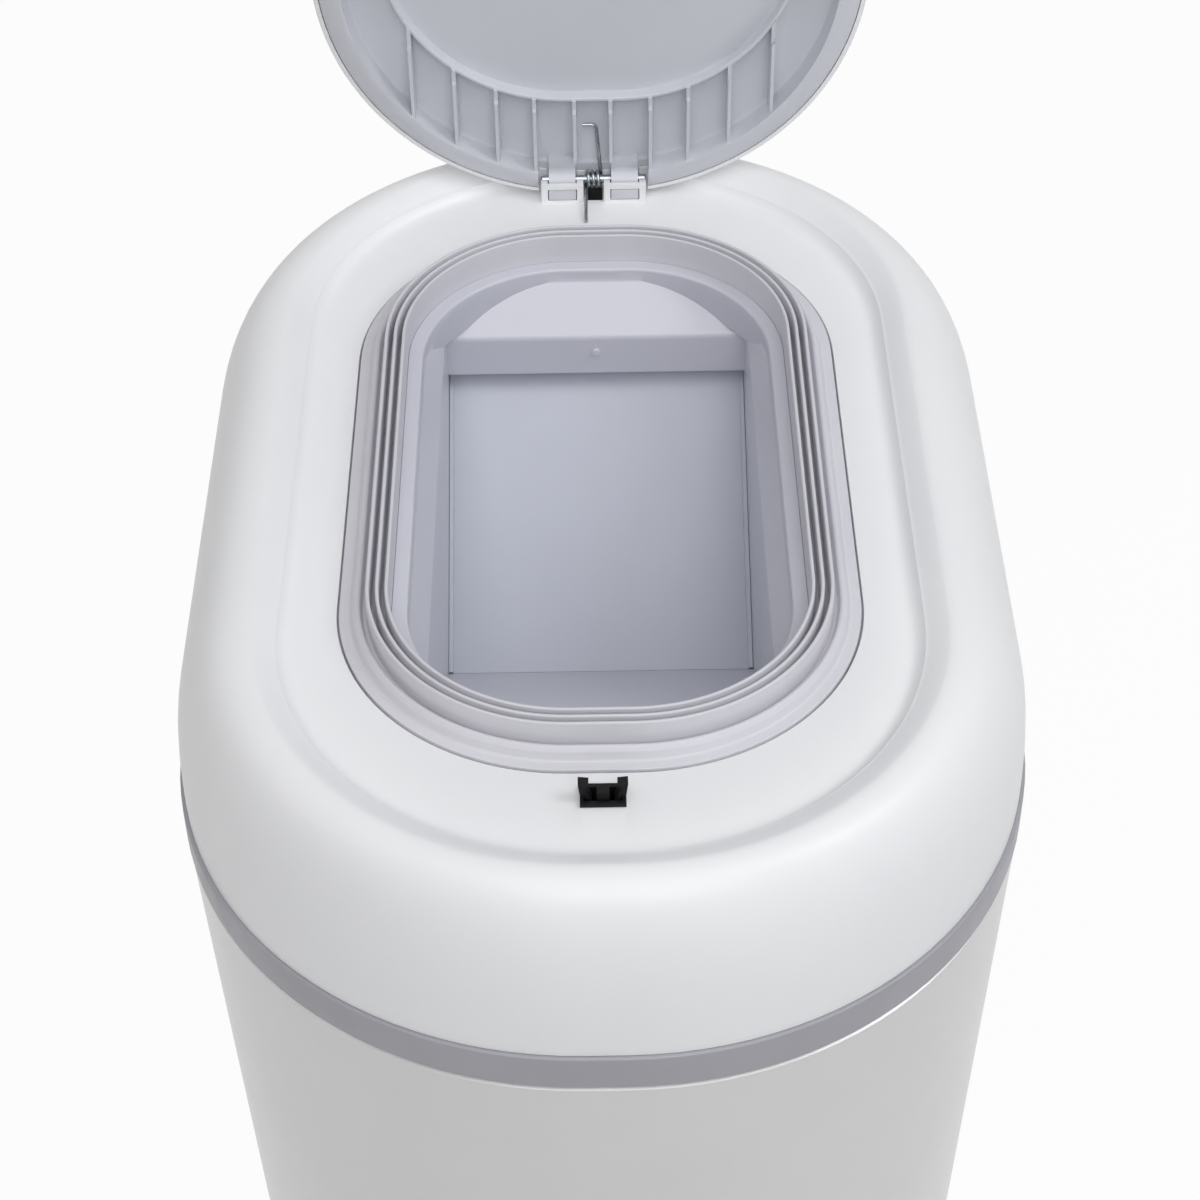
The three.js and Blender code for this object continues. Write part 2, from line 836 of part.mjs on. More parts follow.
// Wound springs
class Helix extends THREE.Curve {
  constructor(axis, place, radius, pitch, startTurn, turns) {
    super();
    Object.assign(this, { axis, place, radius, pitch, startTurn, turns });
  }

  getPoint(share, target = new THREE.Vector3()) {
    const turn = this.startTurn + share * this.turns * 2 * Math.PI;
    const along = share * this.turns * this.pitch;
    const across = this.radius * Math.cos(turn);
    const up = this.radius * Math.sin(turn);
    if (this.axis === "x") target.set(along, across, up);
    else target.set(across, up, along);
    return target.add(this.place);
  }
}

function wireTube(path, wire, coil, name) {
  const steps = Math.ceil(path.getLength() / ((2 * Math.PI * coil) / curlSteps));
  const section = [...Array(springSides).keys()].map((side) => {
    const turn = (side / springSides) * 2 * Math.PI;
    return [wire * Math.cos(turn), wire * Math.sin(turn)];
  });
  const points = path.getSpacedPoints(steps);
  let least = Infinity;
  points.forEach((point, i) =>
    points.slice(i + curlSteps / 2).forEach((other) => {
      least = Math.min(least, point.distanceTo(other) - 2 * wire);
    }),
  );
  console.log(`${name}: least gap between its turns ${least.toFixed(2)} mm`);
  return new THREE.ExtrudeGeometry(polygon(section), { steps, extrudePath: path, bevelEnabled: false });
}

// A torsion spring about an axis along X: one leg comes from its tip at the front and the other rises.
function torsionSpring(spring, y, z, [tipY, tipZ], name) {
  const { wire, coil, turns, pitch, highLeg, lean, hook, bend } = spring;
  const reach = Math.hypot(y - tipY, z - tipZ);
  const tilt = Math.atan2(z - tipZ, y - tipY) - Math.asin(coil / reach);
  const startTurn = tilt - Math.PI / 2;
  const wound = turns - startTurn / (2 * Math.PI);
  const startX = (-wound * pitch) / 2;
  const helix = new Helix("x", new THREE.Vector3(startX, y, z), coil, pitch, startTurn, wound);
  const start = helix.getPoint(0);
  const end = helix.getPoint(1);
  const upward = new THREE.Vector3(0, 0, 1);
  const knee = end.clone().addScaledVector(upward, highLeg - bend);
  knee.x -= lean;
  const path = new THREE.CurvePath();
  path.add(new THREE.LineCurve3(new THREE.Vector3(startX, tipY, tipZ), start));
  path.add(helix);
  path.add(new THREE.LineCurve3(end, knee));
  if (hook > 0) {
    const corner = knee.clone().addScaledVector(upward, bend);
    const turned = corner.clone().add(new THREE.Vector3(-bend, 0, 0));
    path.add(new THREE.QuadraticBezierCurve3(knee, corner, turned));
    path.add(new THREE.LineCurve3(turned, corner.clone().add(new THREE.Vector3(-hook, 0, 0))));
  }
  return wireTube(path, wire, coil, name);
}

function lidSpringWire() {
  const tip = [hingeY - hingeSpring.lowLeg, deck + seatGap + hingeSpring.wire];
  return torsionSpring(hingeSpring, hingeY, hingeZ, tip, "hinge_spring");
}

function trapSpringWire() {
  const share = trapSpring.lowLeg / (trapY - trayFront.y);
  const tip = trayPoint(share, trayFloor + 2 * seatGap + trapSpring.wire);
  return torsionSpring(trapSpring, trapY, trapZ, tip, "flap_spring");
}

const plungerBottom = deck - plunger.bottom;
const housingBottom = deck - housing.depth;

function latchSpringWire() {
  const { wire, coil, turns } = latchSpring;
  const low = housingBottom + housing.floor + seatGap + wire;
  const high = plungerBottom - seatGap - wire;
  const helix = new Helix("z", new THREE.Vector3(0, latchY, low), coil, (high - low) / turns, 0, turns);
  return wireTube(helix, wire, coil, "latch_spring");
}

// Hinge pieces on the cover
function hingePin() {
  const reach = lugInner + lugWidth;
  return rodAlongX(hingePinRadius, -reach, reach, hingeY, hingeZ);
}

function hingeClip(side) {
  const [low, high] = knuckleSpan(side);
  const front = hingeY - bridgeReach;
  return box(
    [low + seatGap, high - seatGap],
    [front + seatGap, front + seatGap + hingeClipDepth],
    [deck + windowSill + seatGap, deck + windowTop - seatGap],
  );
}

// Latch
function latchHousing() {
  const { halfWidth, halfDepth, wall, floor } = housing;
  const bezelBottom = deck + seatGap;
  const bezelTop = bezelBottom + bezel.thickness;
  const body = box(
    [-halfWidth, halfWidth],
    [latchY - halfDepth, latchY + halfDepth],
    [housingBottom, bezelTop],
  );
  const collar = box(
    [-halfWidth - bezel.margin, halfWidth + bezel.margin],
    [latchY - halfDepth - bezel.margin, latchY + halfDepth + bezel.margin],
    [bezelBottom, bezelTop],
  );
  const cavity = box(
    [wall - halfWidth, halfWidth - wall],
    [latchY - halfDepth + wall, latchY + halfDepth - wall],
    [housingBottom + floor, bezelTop + overrun],
  );
  const pivots = lugSides.map((side) =>
    rodAlongY(
      jaw.trunnion + seatGap,
      latchY - halfDepth - overrun,
      latchY + halfDepth + overrun,
      side * jaw.pivotX,
      deck - jaw.pivotDrop,
    ),
  );
  return cut(join(body, collar), cavity, ...pivots);
}

function latchPlunger() {
  const { halfWidth, halfDepth, footHalfWidth, footHeight, top } = plunger;
  const profile = [
    [-footHalfWidth, plungerBottom],
    [footHalfWidth, plungerBottom],
    [footHalfWidth, plungerBottom + footHeight],
    [halfWidth, plungerBottom + footHeight],
    [halfWidth, deck + top],
    [-halfWidth, deck + top],
    [-halfWidth, plungerBottom + footHeight],
    [-footHalfWidth, plungerBottom + footHeight],
  ];
  return alongY(profile, latchY, halfDepth);
}

function latchJaw(side) {
  const profile = [
    [jaw.inner, -jaw.bottom],
    [jaw.outer, -jaw.bottom],
    [jaw.outer, jaw.flareStart],
    [jaw.tipOuter, jaw.flareTop],
    [jaw.tipOuter, jaw.top],
    [jaw.tipInner, jaw.top],
    [jaw.tipInner, jaw.hookRise],
    [jaw.hollow, jaw.hollowRise],
    [jaw.waistInner, jaw.waist],
  ].map(([x, rise]) => [side * x, deck + rise]);
  const arm = alongY(side > 0 ? profile : profile.reverse(), latchY, jaw.halfDepth);
  const trunnion = rodAlongY(
    jaw.trunnion,
    latchY - housing.halfDepth,
    latchY + housing.halfDepth,
    side * jaw.pivotX,
    deck - jaw.pivotDrop,
  );
  return join(arm, trunnion);
}

// Lid, modelled shut over the recess and swung open as a whole
const panelEdge = inset(lidEdge, lidSkirt + seatGap);
const floorZ = deck + floorRise;

function notchTool() {
  const front = hingeY - notchDepth;
  return box(
    [-notchHalfWidth, notchHalfWidth],
    [front, lidEdge.halfLength + overrun],
    [deck - overrun, hingeZ + notchRise],
  );
}

function ribs() {
  const dishEnd = panelEdge.halfLength - dishInset;
  const places = ribPlaceShares.map((share) => lidEdge.halfWidth * share);
  const walls = places.flatMap((place) => [place, -place]).flatMap((x) =>
    [-1, 1].map((end) => {
      const [low, high] = [0, end * (dishEnd + dishInset)].sort((a, b) => a - b);
      return box(
        [x - ribThickness / 2, x + ribThickness / 2],
        [low, high],
        [deck + ribTip, floorZ + seatGap],
      );
    }),
  );
  const fieldPlan = inset(panelEdge, dishInset + dishWall / 2);
  const field = stack([at(fieldPlan, deck), at(fieldPlan, floorZ + panelThickness)]);
  const plugMiddle = holeInset(plugInset + plugWall / 2);
  const plug = stack([at(plugMiddle, deck - overrun), at(plugMiddle, floorZ + panelThickness)]);
  const room = box(
    [-latchRoom.halfWidth, latchRoom.halfWidth],
    [latchY - latchRoom.halfDepth, latchY + latchRoom.halfDepth],
    [deck, floorZ + overrun],
  );
  const sealRoom = stack([
    at(holeInset(sealFlange - seatGap), deck - overrun),
    at(holeInset(sealFlange - seatGap), deck + bead.rise + seatGap),
  ]);
  return common(cut(join(...walls), plug, room, sealRoom), field);
}

function plugRim() {
  return ring([
    at(holeInset(plugInset), deck + plugTip),
    at(holeInset(plugInset), floorZ + panelThickness / 2),
    at(holeInset(plugInset + plugWall), floorZ + panelThickness / 2),
    at(holeInset(plugInset + plugWall), deck + plugTip),
  ]);
}

function dish() {
  const top = floorZ + panelThickness;
  const foot = inset(panelEdge, dishInset);
  return stack([
    at(foot, deck + dishDepthRise),
    at(panelEdge, deck + lidEdgeRise),
    at(panelEdge, deck + panelShoulder.lowRise),
    at(inset(panelEdge, panelShoulder.midInset), deck + panelShoulder.midRise),
    at(inset(panelEdge, panelShoulder.topInset), top),
  ]);
}

function lidPanel() {
  const hollow = inset(panelEdge, dishInset + dishWall);
  const armSeat = hollow.halfLength;
  const pocket = stack([at(hollow, deck - overrun), at(hollow, floorZ)]);
  const plate = cut(dish(), pocket);
  const base = cut(join(plate, ribs(), plugRim()), notchTool());
  const arms = lugSides.map((side) => {
    const [low, high] = knuckleSpan(side);
    const knuckle = rodAlongX(knuckleRadius, low + knuckleGap, high - knuckleGap, hingeY, hingeZ);
    const armTop = hingeZ + knuckleRadius;
    const profile = [
      [hingeY - armReach, deck + bridgeTop + seatGap],
      [hingeY, deck + bridgeTop + seatGap],
      [hingeY, armTop],
      [armSeat, armTop],
      [armSeat, floorZ + seatGap],
      [hingeY - armReach, floorZ + seatGap],
    ];
    const arm = alongX(profile, low + knuckleGap, high - knuckleGap);
    return join(knuckle, arm);
  });
  return cut(join(base, ...arms), hingePinBore());
}

function lidDomeRow(step, sink) {
  const share = step / lidDomeSteps;
  const turn = share * (Math.PI / 2);
  const low = deck + lidEdgeRise + lidSideRise;
  const reach = (lidEdge.radius - overrun) * (1 - Math.cos(turn)) * lidBulgeShare;
  const height = (deck + lidCrown - low) * Math.sin(turn);
  return at(inset(lidEdge, reach + sink * Math.cos(turn)), low + height - sink);
}

function lidCover() {
  const steps = [...Array(lidDomeSteps + 1).keys()];
  const outer = stack([at(lidEdge, deck + lidEdgeRise), ...steps.map((step) => lidDomeRow(step, 0))]);
  const room = inset(lidEdge, lidSkirt);
  const pocket = stack([
    at(room, deck),
    at(room, deck + panelShoulder.lowRise + seatGap),
    at(inset(room, panelShoulder.midInset), deck + panelShoulder.midRise + seatGap),
    at(inset(room, panelShoulder.topInset), floorZ + panelThickness + seatGap),
    at(inset(room, panelShoulder.topInset + lidRoomInset), deck + lidCrown - lidSkin),
  ]);
  const armRooms = lugSides.map((side) => {
    const [low, high] = knuckleSpan(side);
    const armTop = hingeZ + knuckleRadius + seatGap;
    return join(
      rodAlongX(knuckleRadius + seatGap, low, high, hingeY, hingeZ),
      box([low, high], [hingeY - armReach, hingeY], [deck, armTop]),
    );
  });
  return cut(outer, pocket, notchTool(), ...armRooms);
}

function lidStriker() {
  const { neck, head, headHeight, bottom, halfDepth, foot, footThickness } = striker;
  const top = floorRise - seatGap;
  const profile = [
    [-head, bottom],
    [head, bottom],
    [head, bottom + headHeight],
    [neck, bottom + headHeight],
    [neck, top - footThickness],
    [foot, top - footThickness],
    [foot, top],
    [-foot, top],
    [-foot, top - footThickness],
    [-neck, top - footThickness],
    [-neck, bottom + headHeight],
    [-head, bottom + headHeight],
  ].map(([x, rise]) => [x, deck + rise]);
  return alongY(profile, latchY, halfDepth);
}

// Assembly
function piece(name, geometry, finish) {
  const mesh = new THREE.Mesh(geometry, finish.clone());
  mesh.name = name;
  return mesh;
}

const body = new THREE.Group();
body.add(
  piece("body_shell", bodyShell(), finishes.paint),
  piece("trim_band", trimBand(), finishes.collar),
  piece("base_tray", baseTray(), finishes.collar),
  ...footPlaces().map((place, i) => piece(`foot_${i + 1}`, foot(place), finishes.rubber)),
);

const cover = new THREE.Group();
cover.add(
  piece("top_cover", topCover(), finishes.white),
  piece("throat_insert", throatInsert(), finishes.liner),
  piece("seal_ring", sealRing(), finishes.lip),
  piece("hinge_pin", hingePin(), finishes.steel),
  piece("hinge_clip_left", hingeClip(-1), finishes.lip),
  piece("hinge_clip_right", hingeClip(1), finishes.lip),
  piece("hinge_spring", lidSpringWire(), finishes.steel),
  piece("flap_pin", flapPin(), finishes.steel),
  piece("flap_clip_left", pinClip(-1), finishes.steel),
  piece("flap_clip_right", pinClip(1), finishes.steel),
  piece("flap_spring", trapSpringWire(), finishes.steel),
  piece("latch_housing", latchHousing(), finishes.black),
  piece("latch_spring", latchSpringWire(), finishes.steel),
  piece("latch_plunger", latchPlunger(), finishes.black),
  piece("jaw_left", latchJaw(-1), finishes.black),
  piece("jaw_right", latchJaw(1), finishes.black),
  piece("flap_tray", flapTray(), finishes.tray),
);

// The lid's group stands at the hinge axis and its pieces are moved back from it.
const lid = new THREE.Group();
lid.position.set(0, hingeY, hingeZ);
lid.rotation.x = THREE.MathUtils.degToRad(-lidOpenAngle);
const lidPieces = [
  piece("lid_panel", lidPanel(), finishes.underside),
  piece("lid_cover", lidCover(), finishes.white),
  piece("lid_striker", lidStriker(), finishes.black),
];
for (const mesh of lidPieces) {
  mesh.geometry.translate(0, -hingeY, -hingeZ);
  lid.add(mesh);
}

const bin = new THREE.Group();
bin.add(body, cover, lid);

export default bin;
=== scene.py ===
import bmesh
import bpy
import math
from mathutils import Matrix, Vector


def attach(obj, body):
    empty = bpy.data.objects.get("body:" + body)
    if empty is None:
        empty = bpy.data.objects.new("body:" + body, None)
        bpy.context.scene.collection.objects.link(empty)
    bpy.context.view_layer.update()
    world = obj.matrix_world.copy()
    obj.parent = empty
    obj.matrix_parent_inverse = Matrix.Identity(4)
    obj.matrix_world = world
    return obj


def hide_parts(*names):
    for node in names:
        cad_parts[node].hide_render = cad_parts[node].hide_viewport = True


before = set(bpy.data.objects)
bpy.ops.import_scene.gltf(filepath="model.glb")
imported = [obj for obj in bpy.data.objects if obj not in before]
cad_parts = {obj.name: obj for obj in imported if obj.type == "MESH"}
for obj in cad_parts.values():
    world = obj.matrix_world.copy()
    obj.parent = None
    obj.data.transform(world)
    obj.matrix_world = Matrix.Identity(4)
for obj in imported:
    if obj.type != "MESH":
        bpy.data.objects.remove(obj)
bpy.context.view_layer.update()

# Millimetres, in the row frame, from here on
METRES = 0.001
DECK = 590.0

# Camera at the photograph's viewpoint
CAMERA_PLACE = (0.0, -699.3, DECK + 588.7)
CAMERA_PITCH = 42.8
CAMERA_ROLL = -0.9
LENS = 80.62
SENSOR = 36.0
CLIP_START = 0.01

# Plans: half width, half length and corner radius
BAND = (140.5, 205.2, 134.0)
CROWN = (110.5, 184.5, 104.5)
RIM = (103.2, 176.6, 98.0)
RECESS = (95.7, 169.1, 90.5)
HOLE = (84.7, 140.2, 74.8)
LID_EDGE = (101.2, 173.5, 97.0)
CORNER_STEPS = 28

# Heights and walls
BAND_TOP = DECK - 55.5
BAND_BOTTOM = BAND_TOP - 13.8
BODY_TOP = BAND_BOTTOM - 1.7
CROWN_RISE = 8.2
RIM_RISE = 3.8
COVER_WALL = 2.5
SHEET = 1.2
GAP = 0.3
OVERRUN = 2.0

# Hinge
HINGE_Y = 167.5
HINGE_Z = DECK + 6.5
HINGE_PIN = 1.5
HINGE_BORE_HALF = 30.0
LID_ANGLE = -89.0
LUG_INNER = 3.9
LUG_WIDTH = 16.1
EAR_THICKNESS = 2.5

# Trap
CHUTE_HALF_WIDTH = 56.0
CHUTE_HALF_LENGTH = 101.0
CHUTE_SHIFT = 1.0
CHUTE_WALL = 2.0
TRAP_Y = 114.0
TRAP_Z = DECK - 50.0
TRAP_PIN = 2.0
BORE_OVERRUN = 5.0
LOWER_EDGE = (8.0, DECK - 102.0)

# Latch
LATCH_Y = -150.3
HOUSING_HALF_WIDTH = 6.6
HOUSING_HALF_DEPTH = 3.6

# Roundings: how straight a corner may be, and how much of a side one rounding may take
NEARLY_STRAIGHT = math.radians(88)
SIDE_SHARE = 0.49


def link(obj):
    bpy.context.scene.collection.objects.link(obj)
    return obj


def place_camera():
    data = bpy.data.cameras.new("camera")
    data.lens = LENS
    data.sensor_width = SENSOR
    data.clip_start = CLIP_START
    camera = link(bpy.data.objects.new("camera", data))
    pitch = math.radians(CAMERA_PITCH)
    roll = math.radians(CAMERA_ROLL)
    forward = Vector((0.0, math.cos(pitch), -math.sin(pitch)))
    level = Vector((1.0, 0.0, 0.0))
    upward = level.cross(forward)
    right = level * math.cos(roll) + upward * math.sin(roll)
    up = upward * math.cos(roll) - level * math.sin(roll)
    matrix = Matrix((right, up, -forward)).transposed().to_4x4()
    matrix.translation = Vector(CAMERA_PLACE) * METRES
    camera.matrix_world = matrix
    bpy.context.scene.camera = camera


place_camera()


# Outlines and surfaces. A shape is a list of points and a list of faces.
def outline(row):
    """The points of a rounded rectangle at one height."""
    half_width, half_length, radius, z = row
    points = []
    for quarter in range(4):
        start = quarter * math.pi / 2
        points.append((half_width * math.cos(start), half_length * math.sin(start), z))
        corner_x = (half_width - radius) * (1 if quarter in (0, 3) else -1)
        corner_y = (half_length - radius) * (1 if quarter < 2 else -1)
        for step in range(CORNER_STEPS + 1):
            turn = start + step / CORNER_STEPS * math.pi / 2
            points.append((corner_x + radius * math.cos(turn), corner_y + radius * math.sin(turn), z))
    return points


def inset(plan, distance):
    return tuple(size - distance for size in plan)


def at(plan, distance, z):
    """A row of a surface: a plan moved inwards by a distance, at a height."""
    return (*inset(plan, distance), z)


def between(first, second, share):
    return tuple(a + (b - a) * share for a, b in zip(first, second))


def walls(rows, count, closed):
    faces = []
    for row in range(rows if closed else rows - 1):
        low, high = row * count, (row + 1) % rows * count
        for i in range(count):
            following = (i + 1) % count
            faces.append((low + i, low + following, high + following, high + i))
    return faces


def capped(points, count):
    """A shape from rows of count points, with its first and last rows closed."""
    faces = walls(len(points) // count, count, False)
    faces.append(tuple(range(count)))
    faces.append(tuple(range(len(points) - count, len(points))))
    return points, faces


def ring(rows):
    points = [point for row in rows for point in outline(row)]
    return points, walls(len(rows), len(outline(rows[0])), True)


def stack(rows):
    points = [point for row in rows for point in outline(row)]
    return capped(points, len(outline(rows[0])))


def soften(corners, steps=5):
    """Rounds each (u, v, radius) corner of a closed profile."""
    made = []
    for i, (u, v, radius) in enumerate(corners):
        if radius <= 0:
            made.append((u, v))
            continue
        corner = Vector((u, v))
        before = Vector(corners[i - 1][:2]) - corner
        after = Vector(corners[(i + 1) % len(corners)][:2]) - corner
        half = before.angle(after) / 2
        if half > NEARLY_STRAIGHT:
            made.append((u, v))
            continue
        reach = min(radius / math.tan(half), before.length * SIDE_SHARE, after.length * SIDE_SHARE)
        radius = reach * math.tan(half)
        middle = (before.normalized() + after.normalized()).normalized()
        centre = corner + middle * (radius / math.sin(half))
        start = corner + before.normalized() * reach - centre
        sweep = start.angle_signed(corner + after.normalized() * reach - centre)
        for step in range(steps + 1):
            spoke = start.copy()
            spoke.rotate(Matrix.Rotation(-sweep * step / steps, 2))
            made.append(tuple(centre + spoke))
    return made


def section(plan, corners, steps=5):
    """A ring whose section is given as (inset, z, radius) corners."""
    return ring([at(plan, u, z) for u, z in soften(corners, steps)])


def prism(profile, low, high, axis):
    """Extrudes a closed profile along x, y or z, from points across the other two axes."""
    if axis == "x":
        points = [(end, u, v) for end in (low, high) for u, v in profile]
    elif axis == "y":
        points = [(u, end, v) for end in (low, high) for u, v in profile]
    else:
        points = [(u, v, end) for end in (low, high) for u, v in profile]
    return capped(points, len(profile))


def box(x, y, z):
    return prism([(x[0], y[0]), (x[1], y[0]), (x[1], y[1]), (x[0], y[1])], z[0], z[1], "z")


def disc(radius, low, high, centre, axis, sides=32, edge=0.0):
    """A round bar with softened ends, along an axis through centre."""
    rows = [(radius - edge, low), (radius, low + edge), (radius, high - edge), (radius - edge, high)]
    if edge <= 0:
        rows = [(radius, low), (radius, high)]
    points = []
    for size, along in rows:
        for side in range(sides):
            turn = side / sides * 2 * math.pi
            u = centre[0] + size * math.cos(turn)
            v = centre[1] + size * math.sin(turn)
            points.append({"x": (along, u, v), "y": (u, along, v), "z": (u, v, along)}[axis])
    return capped(points, sides)


def tube(path, radius, sides=12):
    """A round wire along a path of points, with capped ends."""
    path = [Vector(point) for point in path]
    tangents = []
    for i in range(len(path)):
        following = path[min(i + 1, len(path) - 1)]
        previous = path[max(i - 1, 0)]
        tangents.append((following - previous).normalized())
    side = tangents[0].orthogonal().normalized()
    points = []
    for point, tangent in zip(path, tangents):
        side = (side - tangent * side.dot(tangent)).normalized()
        over = tangent.cross(side)
        for i in range(sides):
            turn = i / sides * 2 * math.pi
            points.append(tuple(point + radius * (side * math.cos(turn) + over * math.sin(turn))))
    return capped(points, sides)


def gather(*shapes):
    """Several closed shapes as one."""
    points, faces = [], []
    for more_points, more_faces in shapes:
        start = len(points)
        points += more_points
        faces += [tuple(start + i for i in face) for face in more_faces]
    return points, faces


def mirrored(half):
    """A closed profile from its right half, given from the bottom up."""
    left = [(-x, z) for x, z in reversed(half)]
    return left[-1:] + half + left[:-1]


def face_outward(mesh):
    work = bmesh.new()
    work.from_mesh(mesh)
    bmesh.ops.recalc_face_normals(work, faces=work.faces)
    work.to_mesh(mesh)
    work.free()


def mesh_of(shape, scale=1.0):
    points, faces = shape
    mesh = bpy.data.meshes.new("shape")
    mesh.from_pydata([tuple(size * scale for size in point) for point in points], [], faces)
    face_outward(mesh)
    return bpy.data.objects.new("shape", mesh)


def evaluated(obj):
    """The shape of an object with its modifiers applied."""
    bpy.context.view_layer.update()
    graph = bpy.context.evaluated_depsgraph_get()
    mesh = bpy.data.meshes.new_from_object(obj.evaluated_get(graph))
    points = [tuple(vertex.co) for vertex in mesh.vertices]
    faces = [tuple(face.vertices) for face in mesh.polygons]
    bpy.data.meshes.remove(mesh)
    return points, faces


def discard(*objects):
    for obj in objects:
        mesh = obj.data
        bpy.data.objects.remove(obj)
        bpy.data.meshes.remove(mesh)


def combine(shape, tools, operation):
    base = link(mesh_of(shape))
    others = [link(mesh_of(tool)) for tool in tools]
    for other in others:
        modifier = base.modifiers.new("combine", "BOOLEAN")
        modifier.operation = operation
        modifier.solver = "MANIFOLD"
        modifier.object = other
    result = evaluated(base)
    discard(base, *others)
    return result


def cut(shape, *tools):
    return combine(shape, tools, "DIFFERENCE")


def join(shape, *tools):
    return combine(shape, tools, "UNION")


def common(shape, *tools):
    return combine(shape, tools, "INTERSECT")


def bevelled(shape, width, segments=2, angle=40.0):
    base = link(mesh_of(shape))
    modifier = base.modifiers.new("edges", "BEVEL")
    modifier.width = width
    modifier.segments = segments
    modifier.limit_method = "ANGLE"
    modifier.angle_limit = math.radians(angle)
    modifier.use_clamp_overlap = True
    result = evaluated(base)
    discard(base)
    return result


def turned_lid(shape):
    """Swings a shape of the shut lid open about the hinge."""
    points, faces = shape
    turn = math.radians(LID_ANGLE)
    cosine, sine = math.cos(turn), math.sin(turn)
    moved = []
    for x, y, z in points:
        across, up = y - HINGE_Y, z - HINGE_Z
        moved.append((x, HINGE_Y + across * cosine - up * sine, HINGE_Z + across * sine + up * cosine))
    return moved, faces


# Materials. Each noise is (detail, roughness).
PATCH_NOISE = (4.0, 0.55)
GLOSS_NOISE = (5.0, 0.6)
GRAIN_NOISE = (2.0, 0.5)
GLOSS_FINENESS = 6
NOISE_RANGE = (0.3, 0.7)
COAT_ROUGHNESS = 0.12

# Sockets of a colour Mix node
MIX_SHARE, MIX_FIRST, MIX_SECOND, MIX_RESULT = 0, 6, 7, 2


def node(tree, kind, **values):
    made = tree.nodes.new(kind)
    for key, value in values.items():
        setattr(made, key, value)
    return made


def noise(tree, where, scale, kind):
    made = node(tree, "ShaderNodeTexNoise")
    made.inputs["Scale"].default_value = scale
    made.inputs["Detail"].default_value = kind[0]
    made.inputs["Roughness"].default_value = kind[1]
    tree.links.new(where.outputs["Object"], made.inputs["Vector"])
    return made.outputs["Fac"]


def spread(tree, source, low, high):
    """Stretches the middle of a noise over a range of values."""
    made = node(tree, "ShaderNodeMapRange")
    made.inputs["From Min"].default_value = NOISE_RANGE[0]
    made.inputs["From Max"].default_value = NOISE_RANGE[1]
    made.inputs["To Min"].default_value = low
    made.inputs["To Max"].default_value = high
    tree.links.new(source, made.inputs["Value"])
    return made.outputs["Result"]


def mixed(tree, share, first, second):
    made = node(tree, "ShaderNodeMix", data_type="RGBA")
    tree.links.new(share, made.inputs[MIX_SHARE])
    made.inputs[MIX_FIRST].default_value = (*first, 1.0)
    made.inputs[MIX_SECOND].default_value = (*second, 1.0)
    return made.outputs[MIX_RESULT]


def finish_of(name, colours, gloss, grain, patch=14.0, metallic=0.0, coat=0.0, specular=0.5):
    """Moulded or painted surface: mottled colour, uneven gloss and a fine grain.

    colours are the two ends of the mottling, gloss the roughness range, patch the
    mottling's scale per metre, and grain the (scale per metre, depth in metres) of
    each layer of surface texture.
    """
    material = bpy.data.materials.new(name)
    material.use_nodes = True
    tree = material.node_tree
    shader = tree.nodes["Principled BSDF"]
    where = node(tree, "ShaderNodeTexCoord")
    patches = spread(tree, noise(tree, where, patch, PATCH_NOISE), 0.0, 1.0)
    tree.links.new(mixed(tree, patches, *colours), shader.inputs["Base Color"])
    roughness = spread(tree, noise(tree, where, patch * GLOSS_FINENESS, GLOSS_NOISE), *gloss)
    tree.links.new(roughness, shader.inputs["Roughness"])
    shader.inputs["Metallic"].default_value = metallic
    shader.inputs["Coat Weight"].default_value = coat
    shader.inputs["Coat Roughness"].default_value = COAT_ROUGHNESS
    shader.inputs["Specular IOR Level"].default_value = specular
    normal = None
    for scale, depth in grain:
        bump = node(tree, "ShaderNodeBump")
        bump.inputs["Strength"].default_value = 1.0
        bump.inputs["Distance"].default_value = depth
        tree.links.new(noise(tree, where, scale, GRAIN_NOISE), bump.inputs["Height"])
        if normal:
            tree.links.new(normal, bump.inputs["Normal"])
        normal = bump.outputs["Normal"]
    tree.links.new(normal, shader.inputs["Normal"])
    return material


